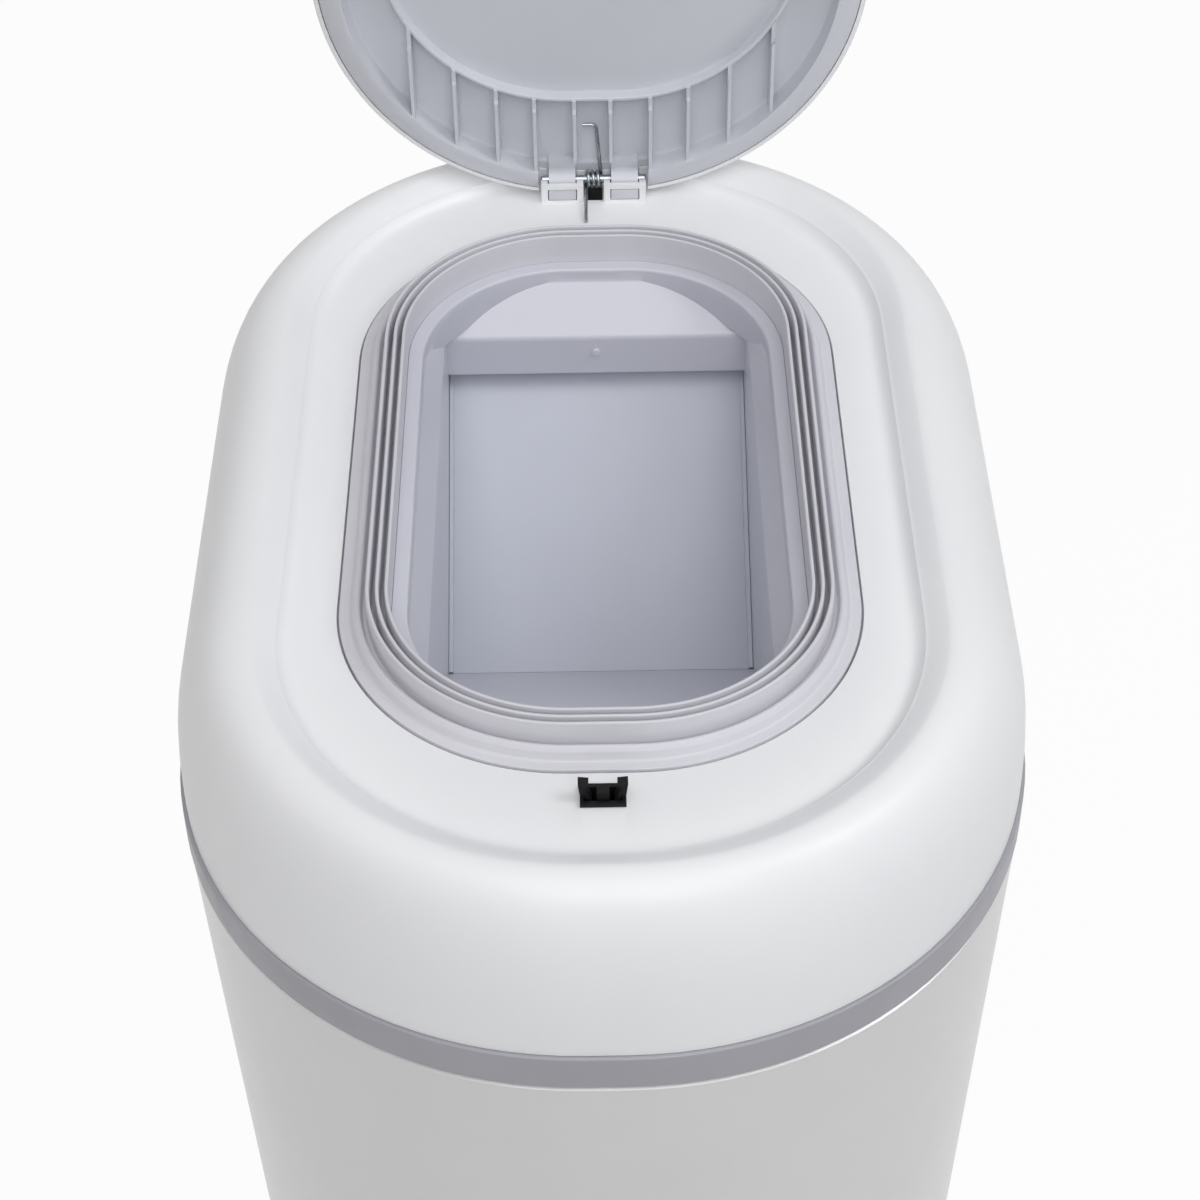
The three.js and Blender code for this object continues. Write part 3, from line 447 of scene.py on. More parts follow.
FINISHES = {
    "white_plastic": {
        "colours": ((0.86, 0.865, 0.88), (0.885, 0.89, 0.90)),
        "gloss": (0.34, 0.44),
        "grain": [(900, 0.00001), (240, 0.00001)],
    },
    "painted_steel": {
        "colours": ((0.62, 0.615, 0.62), (0.64, 0.635, 0.64)),
        "gloss": (0.33, 0.38),
        "grain": [(2600, 0.000006), (160, 0.00002)],
        "metallic": 0.35,
        "coat": 0.3,
    },
    "collar_plastic": {
        "colours": ((0.34, 0.335, 0.37), (0.38, 0.375, 0.41)),
        "gloss": (0.36, 0.48),
        "grain": [(1500, 0.000012)],
    },
    "foot_rubber": {
        "colours": ((0.018, 0.018, 0.019), (0.035, 0.035, 0.036)),
        "gloss": (0.7, 0.85),
        "grain": [(1800, 0.00003)],
        "patch": 60.0,
    },
    "liner_plastic": {
        "colours": ((0.59, 0.595, 0.655), (0.62, 0.625, 0.685)),
        "gloss": (0.30, 0.35),
        "grain": [(420, 0.00001), (25, 0.0001)],
        "patch": 10.0,
    },
    "soft_seal": {
        "colours": ((0.63, 0.625, 0.67), (0.665, 0.66, 0.705)),
        "gloss": (0.42, 0.56),
        "grain": [(1400, 0.00001), (90, 0.00006)],
        "patch": 20.0,
    },
    "tray_plastic": {
        "colours": ((0.50, 0.52, 0.585), (0.525, 0.545, 0.61)),
        "gloss": (0.38, 0.42),
        "grain": [(520, 0.00001), (22, 0.0002)],
        "patch": 12.0,
    },
    "underside_plastic": {
        "colours": ((0.625, 0.635, 0.685), (0.655, 0.665, 0.715)),
        "gloss": (0.32, 0.38),
        "grain": [(700, 0.00001), (40, 0.0001)],
    },
    "black_plastic": {
        "colours": ((0.004, 0.004, 0.0045), (0.008, 0.008, 0.009)),
        "gloss": (0.42, 0.56),
        "grain": [(2200, 0.00002)],
        "patch": 120.0,
        "specular": 0.16,
    },
    "steel": {
        "colours": ((0.30, 0.33, 0.35), (0.44, 0.47, 0.49)),
        "gloss": (0.22, 0.34),
        "grain": [(3000, 0.000006)],
        "patch": 200.0,
        "metallic": 1.0,
    },
}
finishes = {name: finish_of(name, **values) for name, values in FINISHES.items()}

SHARP_ANGLE = math.radians(34.0)
AREA_WEIGHT = 80


def piece(name, shape, slot, body, replaces=(), flat=False):
    """Makes a piece. flat keeps the shading of wide faces even beside narrow ones."""
    obj = mesh_of(shape, METRES)
    obj.name = name
    obj.data.name = name
    link(obj)
    obj.data.polygons.foreach_set("use_smooth", [True] * len(obj.data.polygons))
    obj.data.set_sharp_from_angle(angle=SHARP_ANGLE)
    if flat:
        normals = obj.modifiers.new("normals", "WEIGHTED_NORMAL")
        normals.keep_sharp = True
        normals.weight = AREA_WEIGHT
    obj.data.materials.append(finishes[slot])
    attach(obj, body)
    if replaces:
        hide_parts(*replaces)


# Body, collar and base
BODY_PLAN = inset(BAND, 0.4)
BASE_PLAN = inset(BODY_PLAN, 18.0)
BODY_FOOT = 12.3
BODY_HEM = 1.0
HEM_ROUNDING = ((0.15, -0.3), (0.7, 0.0))
JOGGLE = 2.6
JOGGLE_RISE = 9.0
BAND_LIP = 7.0
BAND_WALL = 2.2
BAND_PLATE = 2.0
PLINTH_STEP = 1.3
PLINTH_HEIGHT = 22.0
PLINTH_FLOOR = 12.0
PLINTH_WALL = 2.4
PLINTH_LEDGE = 1.0
UNDER_INSET = 9.4
UNDER_TOP = 9.0
FOOT_INSET = 26.0
FOOT_HEIGHT = 5.0
FOOT_RADIUS = 11.0
FOOT_LIFT = 0.8
TREAD_RADIUS = 9.4
TREAD_HEIGHT = 2.0
PAD_RADIUS = 13.4
FOOT_SIDES = 48


def body_plan_at(z):
    """The body's plan at a height; it narrows towards the floor."""
    return between(BASE_PLAN, BODY_PLAN, z / BODY_TOP)


def body_shell():
    """The tapered sheet body, with a joggled neck inside the collar."""
    hem = BODY_TOP - BODY_HEM
    neck = BODY_TOP + JOGGLE_RISE
    return ring([
        at(body_plan_at(BODY_FOOT), 0, BODY_FOOT),
        at(body_plan_at(hem), 0, hem),
        *[at(BODY_PLAN, reach, BODY_TOP + rise) for reach, rise in HEM_ROUNDING],
        at(BODY_PLAN, JOGGLE, BODY_TOP + SHEET),
        at(BODY_PLAN, JOGGLE, neck),
        at(BODY_PLAN, JOGGLE + SHEET, neck),
        at(BODY_PLAN, JOGGLE + SHEET, BODY_TOP),
        at(BODY_PLAN, SHEET, BODY_TOP - SHEET),
        at(body_plan_at(BODY_FOOT), SHEET, BODY_FOOT),
    ])


def trim_band():
    """The collar, with a lip that reaches down inside the body."""
    return section(BAND, [
        (0, BAND_BOTTOM, 0.7),
        (0, BAND_TOP, 0.7),
        (BAND_LIP + BAND_WALL, BAND_TOP, 0.3),
        (BAND_LIP + BAND_WALL, BAND_BOTTOM - BAND_LIP, 0.3),
        (BAND_LIP, BAND_BOTTOM - BAND_LIP, 0.3),
        (BAND_LIP, BAND_TOP - BAND_PLATE, 0.2),
        (BAND_WALL, BAND_TOP - BAND_PLATE, 0.2),
        (BAND_WALL, BAND_BOTTOM, 0.3),
    ])


def foot_places():
    """The centres of the four feet."""
    span_x = BASE_PLAN[0] - BASE_PLAN[2]
    span_y = BASE_PLAN[1] - BASE_PLAN[2]
    reach = (BASE_PLAN[2] - FOOT_INSET) * math.sqrt(0.5)
    return [(x * (span_x + reach), y * (span_y + reach)) for y in (-1, 1) for x in (-1, 1)]


def base_tray():
    """The base moulding, with a groove for the body's edge and a pad over each foot."""
    outer = inset(body_plan_at(PLINTH_HEIGHT), -PLINTH_STEP)
    ledge = inset(outer, PLINTH_LEDGE)
    lip = inset(body_plan_at(UNDER_TOP), SHEET + GAP)
    over = PLINTH_HEIGHT + OVERRUN
    body = stack([
        at(outer, 1.4, FOOT_HEIGHT),
        at(outer, 0.4, FOOT_HEIGHT + 0.4),
        at(outer, 0, FOOT_HEIGHT + 1.4),
        at(outer, 0, PLINTH_HEIGHT - 1.0),
        at(outer, 0.3, PLINTH_HEIGHT - 0.3),
        at(ledge, 0, PLINTH_HEIGHT),
    ])
    inside = stack([at(lip, PLINTH_WALL, PLINTH_FLOOR), at(lip, PLINTH_WALL, over)])
    groove = ring([
        at(ledge, 0, PLINTH_FLOOR),
        at(ledge, 0, over),
        at(lip, 0, over),
        at(lip, 0, PLINTH_FLOOR),
    ])
    underside = stack([at(outer, UNDER_INSET, FOOT_HEIGHT - OVERRUN), at(outer, UNDER_INSET, UNDER_TOP)])
    pads = [
        disc(PAD_RADIUS, FOOT_HEIGHT, UNDER_TOP + GAP, place, "z", FOOT_SIDES, 0.5)
        for place in foot_places()
    ]
    return join(cut(body, inside, groove, underside), *pads)


piece("body_skin", body_shell(), "painted_steel", "bin", ["body_shell"])
piece("collar_band", trim_band(), "collar_plastic", "bin", ["trim_band"])
piece("base_moulding", base_tray(), "collar_plastic", "bin", ["base_tray"])
for number, foot in enumerate(foot_places(), 1):
    pad = join(
        disc(FOOT_RADIUS, FOOT_LIFT, FOOT_HEIGHT - GAP, foot, "z", FOOT_SIDES, 0.6),
        disc(TREAD_RADIUS, 0.0, TREAD_HEIGHT, foot, "z", FOOT_SIDES, 0.5),
    )
    piece(f"foot_pad_{number}", pad, "foot_rubber", "bin", [f"foot_{number}"])

# Cover
COVER_LOW = BAND_TOP + GAP
COVER_INSET = 1.3
COVER_HEM = 2.0
SHOULDER_STEPS = 30
SHOULDER_REACH_POWER = 0.82
SHOULDER_HEIGHT_POWER = 0.77
DIP_STEPS = 8
DIP_POWER = 1.25
DIP_REACH = 0.985
COVE_STEPS = 16
COVE_SPREAD = 1.4
COVE_POWER = 4.2
COVE_START = 0.2
COVE_WIDTH = 7.3
COVE_DROP = 0.1
HOLE_ROUNDING = ((-0.3, 0.0), (-0.09, -0.09), (0.0, -0.3))
SPIGOT_INSET = 9.5
SPIGOT_WALL = 2.0
SPIGOT_DEPTH = 8.0
SLOT_X = (-2.3, 3.5)
SLOT_HALF_LENGTH = 5.0


def shoulder_row(step, wall):
    """One row of the shoulder, from the crown at 0 to the foot, inside the surface by wall."""
    turn = step / SHOULDER_STEPS * math.pi / 2
    reach = math.sin(turn) ** SHOULDER_REACH_POWER
    height = math.cos(turn) ** SHOULDER_HEIGHT_POWER if step < SHOULDER_STEPS else 0.0
    top = DECK + CROWN_RISE
    plan = between(CROWN, inset(BAND, COVER_INSET), reach)
    return at(plan, wall * reach, COVER_LOW + (top - COVER_LOW) * height - wall * height)


def recess_rows():
    """The fall from the crown to the rim, and the cove from the rim to the deck."""
    rows = []
    for step in range(1, DIP_STEPS + 1):
        share = step / DIP_STEPS
        fall = (CROWN_RISE - RIM_RISE) * share ** DIP_POWER
        rows.append((*between(CROWN, RIM, share * DIP_REACH), DECK + CROWN_RISE - fall))
    for step in range(COVE_STEPS + 1):
        share = (step / COVE_STEPS) ** COVE_SPREAD
        rise = (RIM_RISE - COVE_DROP) * (1 - share) ** COVE_POWER
        rows.append(at(RIM, COVE_START + COVE_WIDTH * share, DECK + rise))
    return rows


def cover_shell():
    """The cover's wall: shoulder, crown, recess, opening, and the spigot in the collar."""
    outer = [shoulder_row(step, 0.0) for step in range(SHOULDER_STEPS, -1, -1)]
    edge = [at(HOLE, reach, DECK + rise) for reach, rise in HOLE_ROUNDING]
    under = [
        at(HOLE, 0, DECK - COVER_WALL),
        at(RECESS, 0, DECK - COVER_WALL),
        at(RIM, -1.0, DECK + RIM_RISE - COVER_WALL),
        at(CROWN, 3.0, DECK + CROWN_RISE - 0.5 - COVER_WALL),
    ]
    inner = [shoulder_row(step, COVER_WALL) for step in range(SHOULDER_STEPS)]
    spigot = inset(BAND, SPIGOT_INSET)
    bottom = [
        at(BAND, COVER_INSET + COVER_WALL, COVER_LOW + COVER_HEM),
        at(spigot, SPIGOT_WALL, COVER_LOW + COVER_HEM),
        at(spigot, SPIGOT_WALL, COVER_LOW - SPIGOT_DEPTH),
        at(spigot, 0, COVER_LOW - SPIGOT_DEPTH),
        at(spigot, 0, COVER_LOW),
    ]
    shell = ring(outer + recess_rows() + edge + under + inner + bottom)
    through = (DECK - 5.0, DECK + OVERRUN)
    slot = box(SLOT_X, (HINGE_Y - SLOT_HALF_LENGTH, HINGE_Y + SLOT_HALF_LENGTH), through)
    half_width, half_depth = HOUSING_HALF_WIDTH + GAP, HOUSING_HALF_DEPTH + GAP
    hole = box((-half_width, half_width), (LATCH_Y - half_depth, LATCH_Y + half_depth), through)
    return cut(shell, slot, hole)


# Hinge lugs on the cover
LUG_FRONT = HINGE_Y - 6.5
LUG_REAR = HINGE_Y + 3.3
LUG_TOP = DECK + 8.0
LUG_REAR_DROP = 2.7
LUG_FLAT = 3.5
BRIDGE = 1.5
WINDOW_LOW, WINDOW_HIGH = DECK + 0.8, DECK + 5.9
KNUCKLE = 4.6
KNUCKLE_GAP = 0.45
WINDOW_CUT = (LUG_FRONT - 3.0, LUG_FRONT + 4.0)


def lug_span(side):
    """The two ends of a lug along x; side is -1 for left and 1 for right."""
    return sorted((side * LUG_INNER, side * (LUG_INNER + LUG_WIDTH)))


def knuckle_span(side, gap=0.0):
    """The room between a lug's ears, less a gap at each."""
    low, high = lug_span(side)
    return low + EAR_THICKNESS + gap, high - EAR_THICKNESS - gap


def pin_bore():
    return disc(HINGE_PIN + GAP, -HINGE_BORE_HALF, HINGE_BORE_HALF, (HINGE_Y, HINGE_Z), "x")


def lug(side):
    """Two ears and the windowed bridge between them."""
    low, high = lug_span(side)
    window_low, window_high = knuckle_span(side)
    ear = [
        (LUG_FRONT, DECK - GAP),
        (LUG_REAR, DECK - GAP),
        (LUG_REAR, LUG_TOP - LUG_REAR_DROP),
        (LUG_FRONT + LUG_FLAT, LUG_TOP),
        (LUG_FRONT, LUG_TOP),
    ]
    bridge = box((low, high), (LUG_FRONT, LUG_FRONT + BRIDGE), (DECK - GAP, LUG_TOP))
    window = box((window_low, window_high), WINDOW_CUT, (WINDOW_LOW, WINDOW_HIGH))
    ears = prism(ear, low, window_low, "x"), prism(ear, window_high, high, "x")
    return bevelled(cut(join(cut(bridge, window), *ears), pin_bore()), 0.45, 3)


piece("cover_skin", cover_shell(), "white_plastic", "cover", ["top_cover"])
for side, word in ((-1, "left"), (1, "right")):
    piece(f"hinge_lug_{word}", lug(side), "white_plastic", "cover")
    window_low, window_high = knuckle_span(side)
    plate = box(
        (window_low + GAP, window_high - GAP),
        (LUG_FRONT + GAP, LUG_FRONT + BRIDGE),
        (WINDOW_LOW + GAP, WINDOW_HIGH - GAP),
    )
    piece(f"hinge_plate_{word}", bevelled(plate, 0.3), "soft_seal", "cover", [f"hinge_clip_{word}"])

pin_half = LUG_INNER + LUG_WIDTH
hinge_rod = disc(HINGE_PIN, -pin_half, pin_half, (HINGE_Y, HINGE_Z), "x", 32, 0.35)
piece("hinge_rod", hinge_rod, "steel", "cover", ["hinge_pin"])

# Throat insert
THROAT_INSET = 22.8
LEDGE_INSET = 17.65
FLANGE_TOP = DECK - COVER_WALL - GAP
FLANGE = 2.2
FLANGE_REACH = 5.0
WELL_EDGE = DECK - 1.8
WELL_CORNER_LOSS = 8.0
LIP_ROUNDING = ((1.2, OVERRUN), (1.2, 0.01), (0.6, -0.15), (0.2, -0.5), (0.0, -1.2))
RAMP_FRONT = CHUTE_SHIFT - CHUTE_HALF_LENGTH
RAMP_REAR = CHUTE_SHIFT + CHUTE_HALF_LENGTH
RAMP_TOP = DECK - 5.0
RAMP_Z = DECK - 20.0
SIDE_RAMP_Z = DECK - 18.0
END_ROUNDING = 5.0
SIDE_ROUNDING = 12.0
STRIP_LEAN = 5.0
STRIP_Z = DECK - 40.4
STRIP_EDGE = (RAMP_REAR + 1.6, STRIP_Z + 2.6)
CHEEK = 8.0
BROW_RADIUS = 3.4
BROW_REACH = 4.0
BROW_BACK = 8.0
BROW_RISE, BROW_FALL = 2.7, 3.8
MARK_Z = DECK - 27.0
MARK_RADIUS = 1.6
MARK_HEIGHT = 1.0
FAR = 60.0


def mouth(half, top, rounding):
    """The upper part of a funnel's profile, from its right ramp round to its left."""
    right = [
        (half, RAMP_TOP, rounding),
        (half, WELL_EDGE, 0),
        (half + OVERRUN, WELL_EDGE, 0),
        (half + OVERRUN, top + 1.0, 0),
    ]
    return right + [(-across, z, radius) for across, z, radius in reversed(right)]


def funnel(top, wall, lip):
    """The oblong well above the chute, cut off by a ramp at each end and each side."""
    half_width, half_length, radius = inset(HOLE, THROAT_INSET - wall)
    low = RAMP_Z - GAP
    well = stack([
        *lip,
        (half_width, half_length, radius, RAMP_TOP),
        (half_width, half_length, radius - WELL_CORNER_LOSS, low),
    ])
    front, rear = RAMP_FRONT - wall, RAMP_REAR + wall
    half = CHUTE_HALF_WIDTH + wall
    ends = [
        (front, low, 0),
        (rear, low, 0),
        (rear, RAMP_Z, 0),
        *mouth(half_length, top, END_ROUNDING),
        (front, RAMP_Z, 0),
    ]
    sides = [
        (-half, low, 0),
        (half, low, 0),
        (half, SIDE_RAMP_Z, END_ROUNDING),
        *mouth(half_width, top, SIDE_ROUNDING),
        (-half, SIDE_RAMP_Z, END_ROUNDING),
    ]
    return common(
        well,
        prism(soften(ends), -half_width - 3.0, half_width + 3.0, "x"),
        prism(soften(sides), -half_length - 3.0, half_length + 3.0, "y"),
    )


def throat_shell():
    """The outside of the insert: its flange, the funnel and the chute with its cheeks."""
    flange = section(HOLE, [
        (-FLANGE_REACH, FLANGE_TOP - FLANGE, 0.3),
        (-FLANGE_REACH, FLANGE_TOP, 0.3),
        (LEDGE_INSET, FLANGE_TOP, 0.2),
        (LEDGE_INSET, DECK, 0.2),
        (THROAT_INSET + OVERRUN, DECK, 0),
        (THROAT_INSET + OVERRUN, FLANGE_TOP - FLANGE, 0),
    ])
    seat = FLANGE_TOP - FLANGE / 2
    well = funnel(seat, CHUTE_WALL, [at(HOLE, THROAT_INSET - CHUTE_WALL, seat)])
    front, rear = RAMP_FRONT - CHUTE_WALL, RAMP_REAR + CHUTE_WALL
    edge_y, edge_z = LOWER_EDGE
    under = edge_z - CHUTE_WALL * 1.5
    chute = [
        (front, RAMP_Z),
        (edge_y - CHUTE_WALL / 2, under),
        (edge_y + CHEEK, under),
        (TRAP_Y + CHEEK, TRAP_Z - CHEEK),
        (TRAP_Y + CHEEK, STRIP_Z + CHUTE_WALL),
        (rear + STRIP_LEAN, STRIP_Z + CHUTE_WALL),
        (rear, RAMP_Z),
        (rear, RAMP_Z + CHUTE_WALL),
        (front, RAMP_Z + CHUTE_WALL),
    ]
    half = CHUTE_HALF_WIDTH + CHUTE_WALL
    return join(flange, well, prism(chute, -half, half, "x"))


def brow():
    """Cuts a rounded edge where the rear ramp meets the strip."""
    ramp = Vector((HOLE[1] - THROAT_INSET - RAMP_REAR, RAMP_TOP - RAMP_Z)).normalized() * BROW_REACH
    drop = Vector((STRIP_EDGE[0] - RAMP_REAR, STRIP_EDGE[1] - RAMP_Z)).normalized() * BROW_REACH
    profile = [
        (RAMP_REAR - BROW_BACK, RAMP_Z + BROW_RISE, 0),
        (RAMP_REAR + ramp.x, RAMP_Z + ramp.y, 0),
        (RAMP_REAR, RAMP_Z, BROW_RADIUS),
        (RAMP_REAR + drop.x, RAMP_Z + drop.y, 0),
        (RAMP_REAR - BROW_BACK, RAMP_Z - BROW_FALL, 0),
    ]
    return prism(soften(profile), -CHUTE_HALF_WIDTH, CHUTE_HALF_WIDTH, "x")


def throat_insert():
    lip = [at(HOLE, THROAT_INSET - back, DECK + rise) for back, rise in LIP_ROUNDING]
    edge_y, edge_z = LOWER_EDGE
    void = [
        (RAMP_FRONT, RAMP_Z, 1.0),
        (edge_y, edge_z, 0),
        (edge_y, edge_z - FAR, 0),
        (TRAP_Y + FAR, edge_z - FAR, 0),
        (TRAP_Y + FAR, STRIP_Z, 0),
        (RAMP_REAR + STRIP_LEAN, STRIP_Z, 0),
        (*STRIP_EDGE, 1.2),
        (RAMP_REAR, RAMP_Z, 0),
    ]
    hollow = cut(
        throat_shell(),
        funnel(DECK + OVERRUN, 0.0, lip),
        prism(soften(void), -CHUTE_HALF_WIDTH, CHUTE_HALF_WIDTH, "x"),
        brow(),
    )
    bore_half = CHUTE_HALF_WIDTH + CHUTE_WALL + BORE_OVERRUN
    bore = disc(TRAP_PIN + GAP, -bore_half, bore_half, (TRAP_Y, TRAP_Z), "x")
    down = (RAMP_Z - MARK_Z) / (RAMP_Z - STRIP_EDGE[1])
    mark_y = RAMP_REAR + (STRIP_EDGE[0] - RAMP_REAR) * down
    mark = disc(MARK_RADIUS, mark_y - MARK_HEIGHT, mark_y + MARK_HEIGHT, (0.0, MARK_Z), "y", 24, 0.3)
    return join(cut(hollow, bore), mark)


piece("throat_liner", throat_insert(), "liner_plastic", "cover", ["throat_insert"], flat=True)

# Soft seal: a bead given as (inset, rise, radius), and the lips inside it
SEAL_BEAD = ((0.75, 0.5, 0.25), (4.4, 0.5, 0.9), (5.2, 3.4, 1.2), (6.4, 5.2, 1.2), (7.7, 4.6, 0.9))
SEAL_CHANNEL = 8.4
SEAL_STEPS = 4
LIP_COUNT = 3
LIP_FIRST, LIP_PITCH, LIP_ROOT, LIP_TIP = 9.7, 3.05, 1.5, 1.2
LIP_TOP, LIP_FLOOR = DECK + 11.2, DECK + 1.4


def seal_ring():
    """The bead on the opening's edge, a channel, and three upright lips."""
    low = DECK - COVER_WALL
    corners = [(SEAL_BEAD[0][0], low, 0.2)]
    corners += [(reach, DECK + rise, radius) for reach, rise, radius in SEAL_BEAD]
    corners.append((SEAL_CHANNEL, LIP_FLOOR, 0.5))
    slack = (LIP_ROOT - LIP_TIP) / 2
    for number in range(LIP_COUNT):
        start = LIP_FIRST + number * LIP_PITCH
        corners.append((start, LIP_FLOOR, 0.25))
        corners.append((start + slack, LIP_TOP, 0.55))
        corners.append((start + slack + LIP_TIP, LIP_TOP, 0.55))
        if number < LIP_COUNT - 1:
            corners.append((start + LIP_ROOT, LIP_FLOOR, 0.25))
    corners.append((LEDGE_INSET - 0.1, DECK + GAP, 0.1))
    corners.append((LEDGE_INSET - 0.1, low, 0.1))
    return section(HOLE, corners, SEAL_STEPS)


piece("lipped_seal", seal_ring(), "soft_seal", "cover", ["seal_ring"])

# Tray of the trap
TRAY_HALF = CHUTE_HALF_WIDTH - 0.2
TRAY_FRONT = (LOWER_EDGE[0] + 1.2, LOWER_EDGE[1])
TRAY_RISE = 6.6
TRAY_SAG = 4.2
TRAY_STEPS = 28
TRAY_FLOOR = 2.0
TRAY_WALL = 1.5
TRAY_RIM = 2.0
TRAY_HEEL = 2.6
FRONT_SHARE = 1.007
REAR_SHARE = -0.017
HEEL_SHARE = 0.05
HUB_RADIUS = 4.9
HUB_INNER = 9.0


def tray_foot():
    """The rear end of the tray's top, square above the axis."""
    across, up = TRAP_Y - TRAY_FRONT[0], TRAP_Z - TRAY_FRONT[1]
    turn = math.atan2(up, across) + math.asin(TRAY_RISE / math.hypot(across, up))
    return TRAP_Y - TRAY_RISE * math.sin(turn), TRAP_Z + TRAY_RISE * math.cos(turn)


TRAY_REAR = tray_foot()


def tray_point(share, depth):
    """A point a share of the way from rear to front, at a depth under the sagging face."""
    along_y = TRAY_FRONT[0] - TRAY_REAR[0]
    along_z = TRAY_FRONT[1] - TRAY_REAR[1]
    length = math.hypot(along_y, along_z)
    sag = 4 * TRAY_SAG * share * (1 - share) + depth
    return (
        TRAY_REAR[0] + along_y * share - along_z / length * sag,
        TRAY_REAR[1] + along_z * share + along_y / length * sag,
    )


def tray_line(depth, rear):
    """Points at one depth, from the rear share of the tray to its front."""
    shares = [rear, *[step / TRAY_STEPS for step in range(1, TRAY_STEPS)], FRONT_SHARE]
    return [tray_point(share, depth) for share in shares]


def flap_tray():
    """The sagging floor, a raised wall along each side, and a hub on each side."""
    floor = tray_line(TRAY_FLOOR, REAR_SHARE) + tray_line(0.0, REAR_SHARE)[::-1]
    wall = tray_line(TRAY_FLOOR, 0.0) + [
        tray_point(FRONT_SHARE, -TRAY_RIM),
        tray_point(HEEL_SHARE, -TRAY_RIM),
        tray_point(0.0, TRAY_HEEL - TRAY_RIM),
    ]
    parts = [
        prism(wall, TRAY_HALF - TRAY_WALL, TRAY_HALF, "x"),
        prism(wall, -TRAY_HALF, TRAY_WALL - TRAY_HALF, "x"),
    ]
    for side in (-1, 1):
        low, high = sorted((side * HUB_INNER, side * TRAY_HALF))
        parts.append(disc(HUB_RADIUS, low, high, (TRAP_Y, TRAP_Z), "x", 40))
    body = join(prism(floor, -TRAY_HALF, TRAY_HALF, "x"), *parts)
    bore_half = TRAY_HALF + BORE_OVERRUN
    bore = disc(TRAP_PIN + GAP, -bore_half, bore_half, (TRAP_Y, TRAP_Z), "x")
    return bevelled(cut(body, bore), 0.5, 3)


piece("tipping_tray", flap_tray(), "tray_plastic", "flap", ["flap_tray"], flat=True)

# Rod of the tray, and the clips on its ends
ROD_REACH = 3.0
CLIP_RADIUS = 4.4
CLIP_BORE = 2.15
CLIP_HALF_SLOT = 0.9
CLIP_MOUTH = 6.0

rod_half = CHUTE_HALF_WIDTH + CHUTE_WALL + ROD_REACH
tray_rod = disc(TRAP_PIN, -rod_half, rod_half, (TRAP_Y, TRAP_Z), "x", 32, 0.4)
piece("tray_rod", tray_rod, "steel", "cover", ["flap_pin"])
for side, word in ((-1, "left"), (1, "right")):
    inside = side * (CHUTE_HALF_WIDTH + CHUTE_WALL + GAP)
    low, high = sorted((inside, inside + side))
    across = (TRAP_Y - CLIP_HALF_SLOT, TRAP_Y + CLIP_HALF_SLOT)
    clip = cut(
        disc(CLIP_RADIUS, low, high, (TRAP_Y, TRAP_Z), "x", 40, 0.2),
        disc(CLIP_BORE, low - 1, high + 1, (TRAP_Y, TRAP_Z), "x"),
        box((low - 1, high + 1), across, (TRAP_Z - CLIP_MOUTH, TRAP_Z)),
    )
    piece(f"tray_clip_{word}", clip, "steel", "cover", [f"flap_clip_{word}"])

# Springs
TURN_STEPS = 32
HOOK_BEND = 2.0
HOOK_STEPS = 6
LID_LEG = 20.5
LID_LEG_RISE = 0.95
TRAY_LEG = 14.0
TRAY_LEG_DEPTH = 3.2


def torsion_spring(wire, coil, turns, pitch, centre, tip, high_leg, lean=0.0, hook=0.0):
    """A wound wire with one leg to tip, and one that stands up and may end in a hook."""
    y, z = centre
    reach = math.hypot(y - tip[0], z - tip[1])
    tilt = math.atan2(z - tip[1], y - tip[0]) - math.asin(coil / reach)
    start_turn = tilt - math.pi / 2
    wound = turns - start_turn / (2 * math.pi)
    start_x = -wound * pitch / 2
    steps = int(wound * TURN_STEPS)
    winding = []
    for step in range(steps + 1):
        share = step / steps
        turn = start_turn + share * wound * 2 * math.pi
        x = start_x + share * wound * pitch
        winding.append((x, y + coil * math.cos(turn), z + coil * math.sin(turn)))
    start, end = winding[0], winding[-1]
    low_end = (start_x, *tip)
    path = [low_end, between(low_end, start, 0.5), *winding]
    bend = HOOK_BEND if hook else 0.0
    top = end[2] + high_leg
    knee = end[0] - lean
    path.append(((end[0] + knee) / 2, end[1], (end[2] + top - bend) / 2))
    path.append((knee, end[1], top - bend))
    if hook:
        for step in range(1, HOOK_STEPS + 1):
            turn = step / HOOK_STEPS * math.pi / 2
            x = knee - bend + bend * math.cos(turn)
            path.append((x, end[1], top - bend + bend * math.sin(turn)))
        path.append((knee - hook, end[1], top))
    return tube(path, wire)


hinge_wire = torsion_spring(
    wire=0.65,
    coil=2.85,
    turns=3,
    pitch=1.85,
    centre=(HINGE_Y, HINGE_Z),
    tip=(HINGE_Y - LID_LEG, DECK + LID_LEG_RISE),
    high_leg=22.5,
    lean=1.6,
    hook=5.2,
)
piece("lid_spring", hinge_wire, "steel", "cover", ["hinge_spring"])

leg_share = TRAY_LEG / (TRAP_Y - TRAY_FRONT[0])
tray_wire = torsion_spring(
    wire=0.6,
    coil=3.3,
    turns=5,
    pitch=1.9,
    centre=(TRAP_Y, TRAP_Z),
    tip=tray_point(leg_share, TRAY_LEG_DEPTH),
    high_leg=9.0,
)
piece("tray_spring", tray_wire, "steel", "cover", ["flap_spring"])

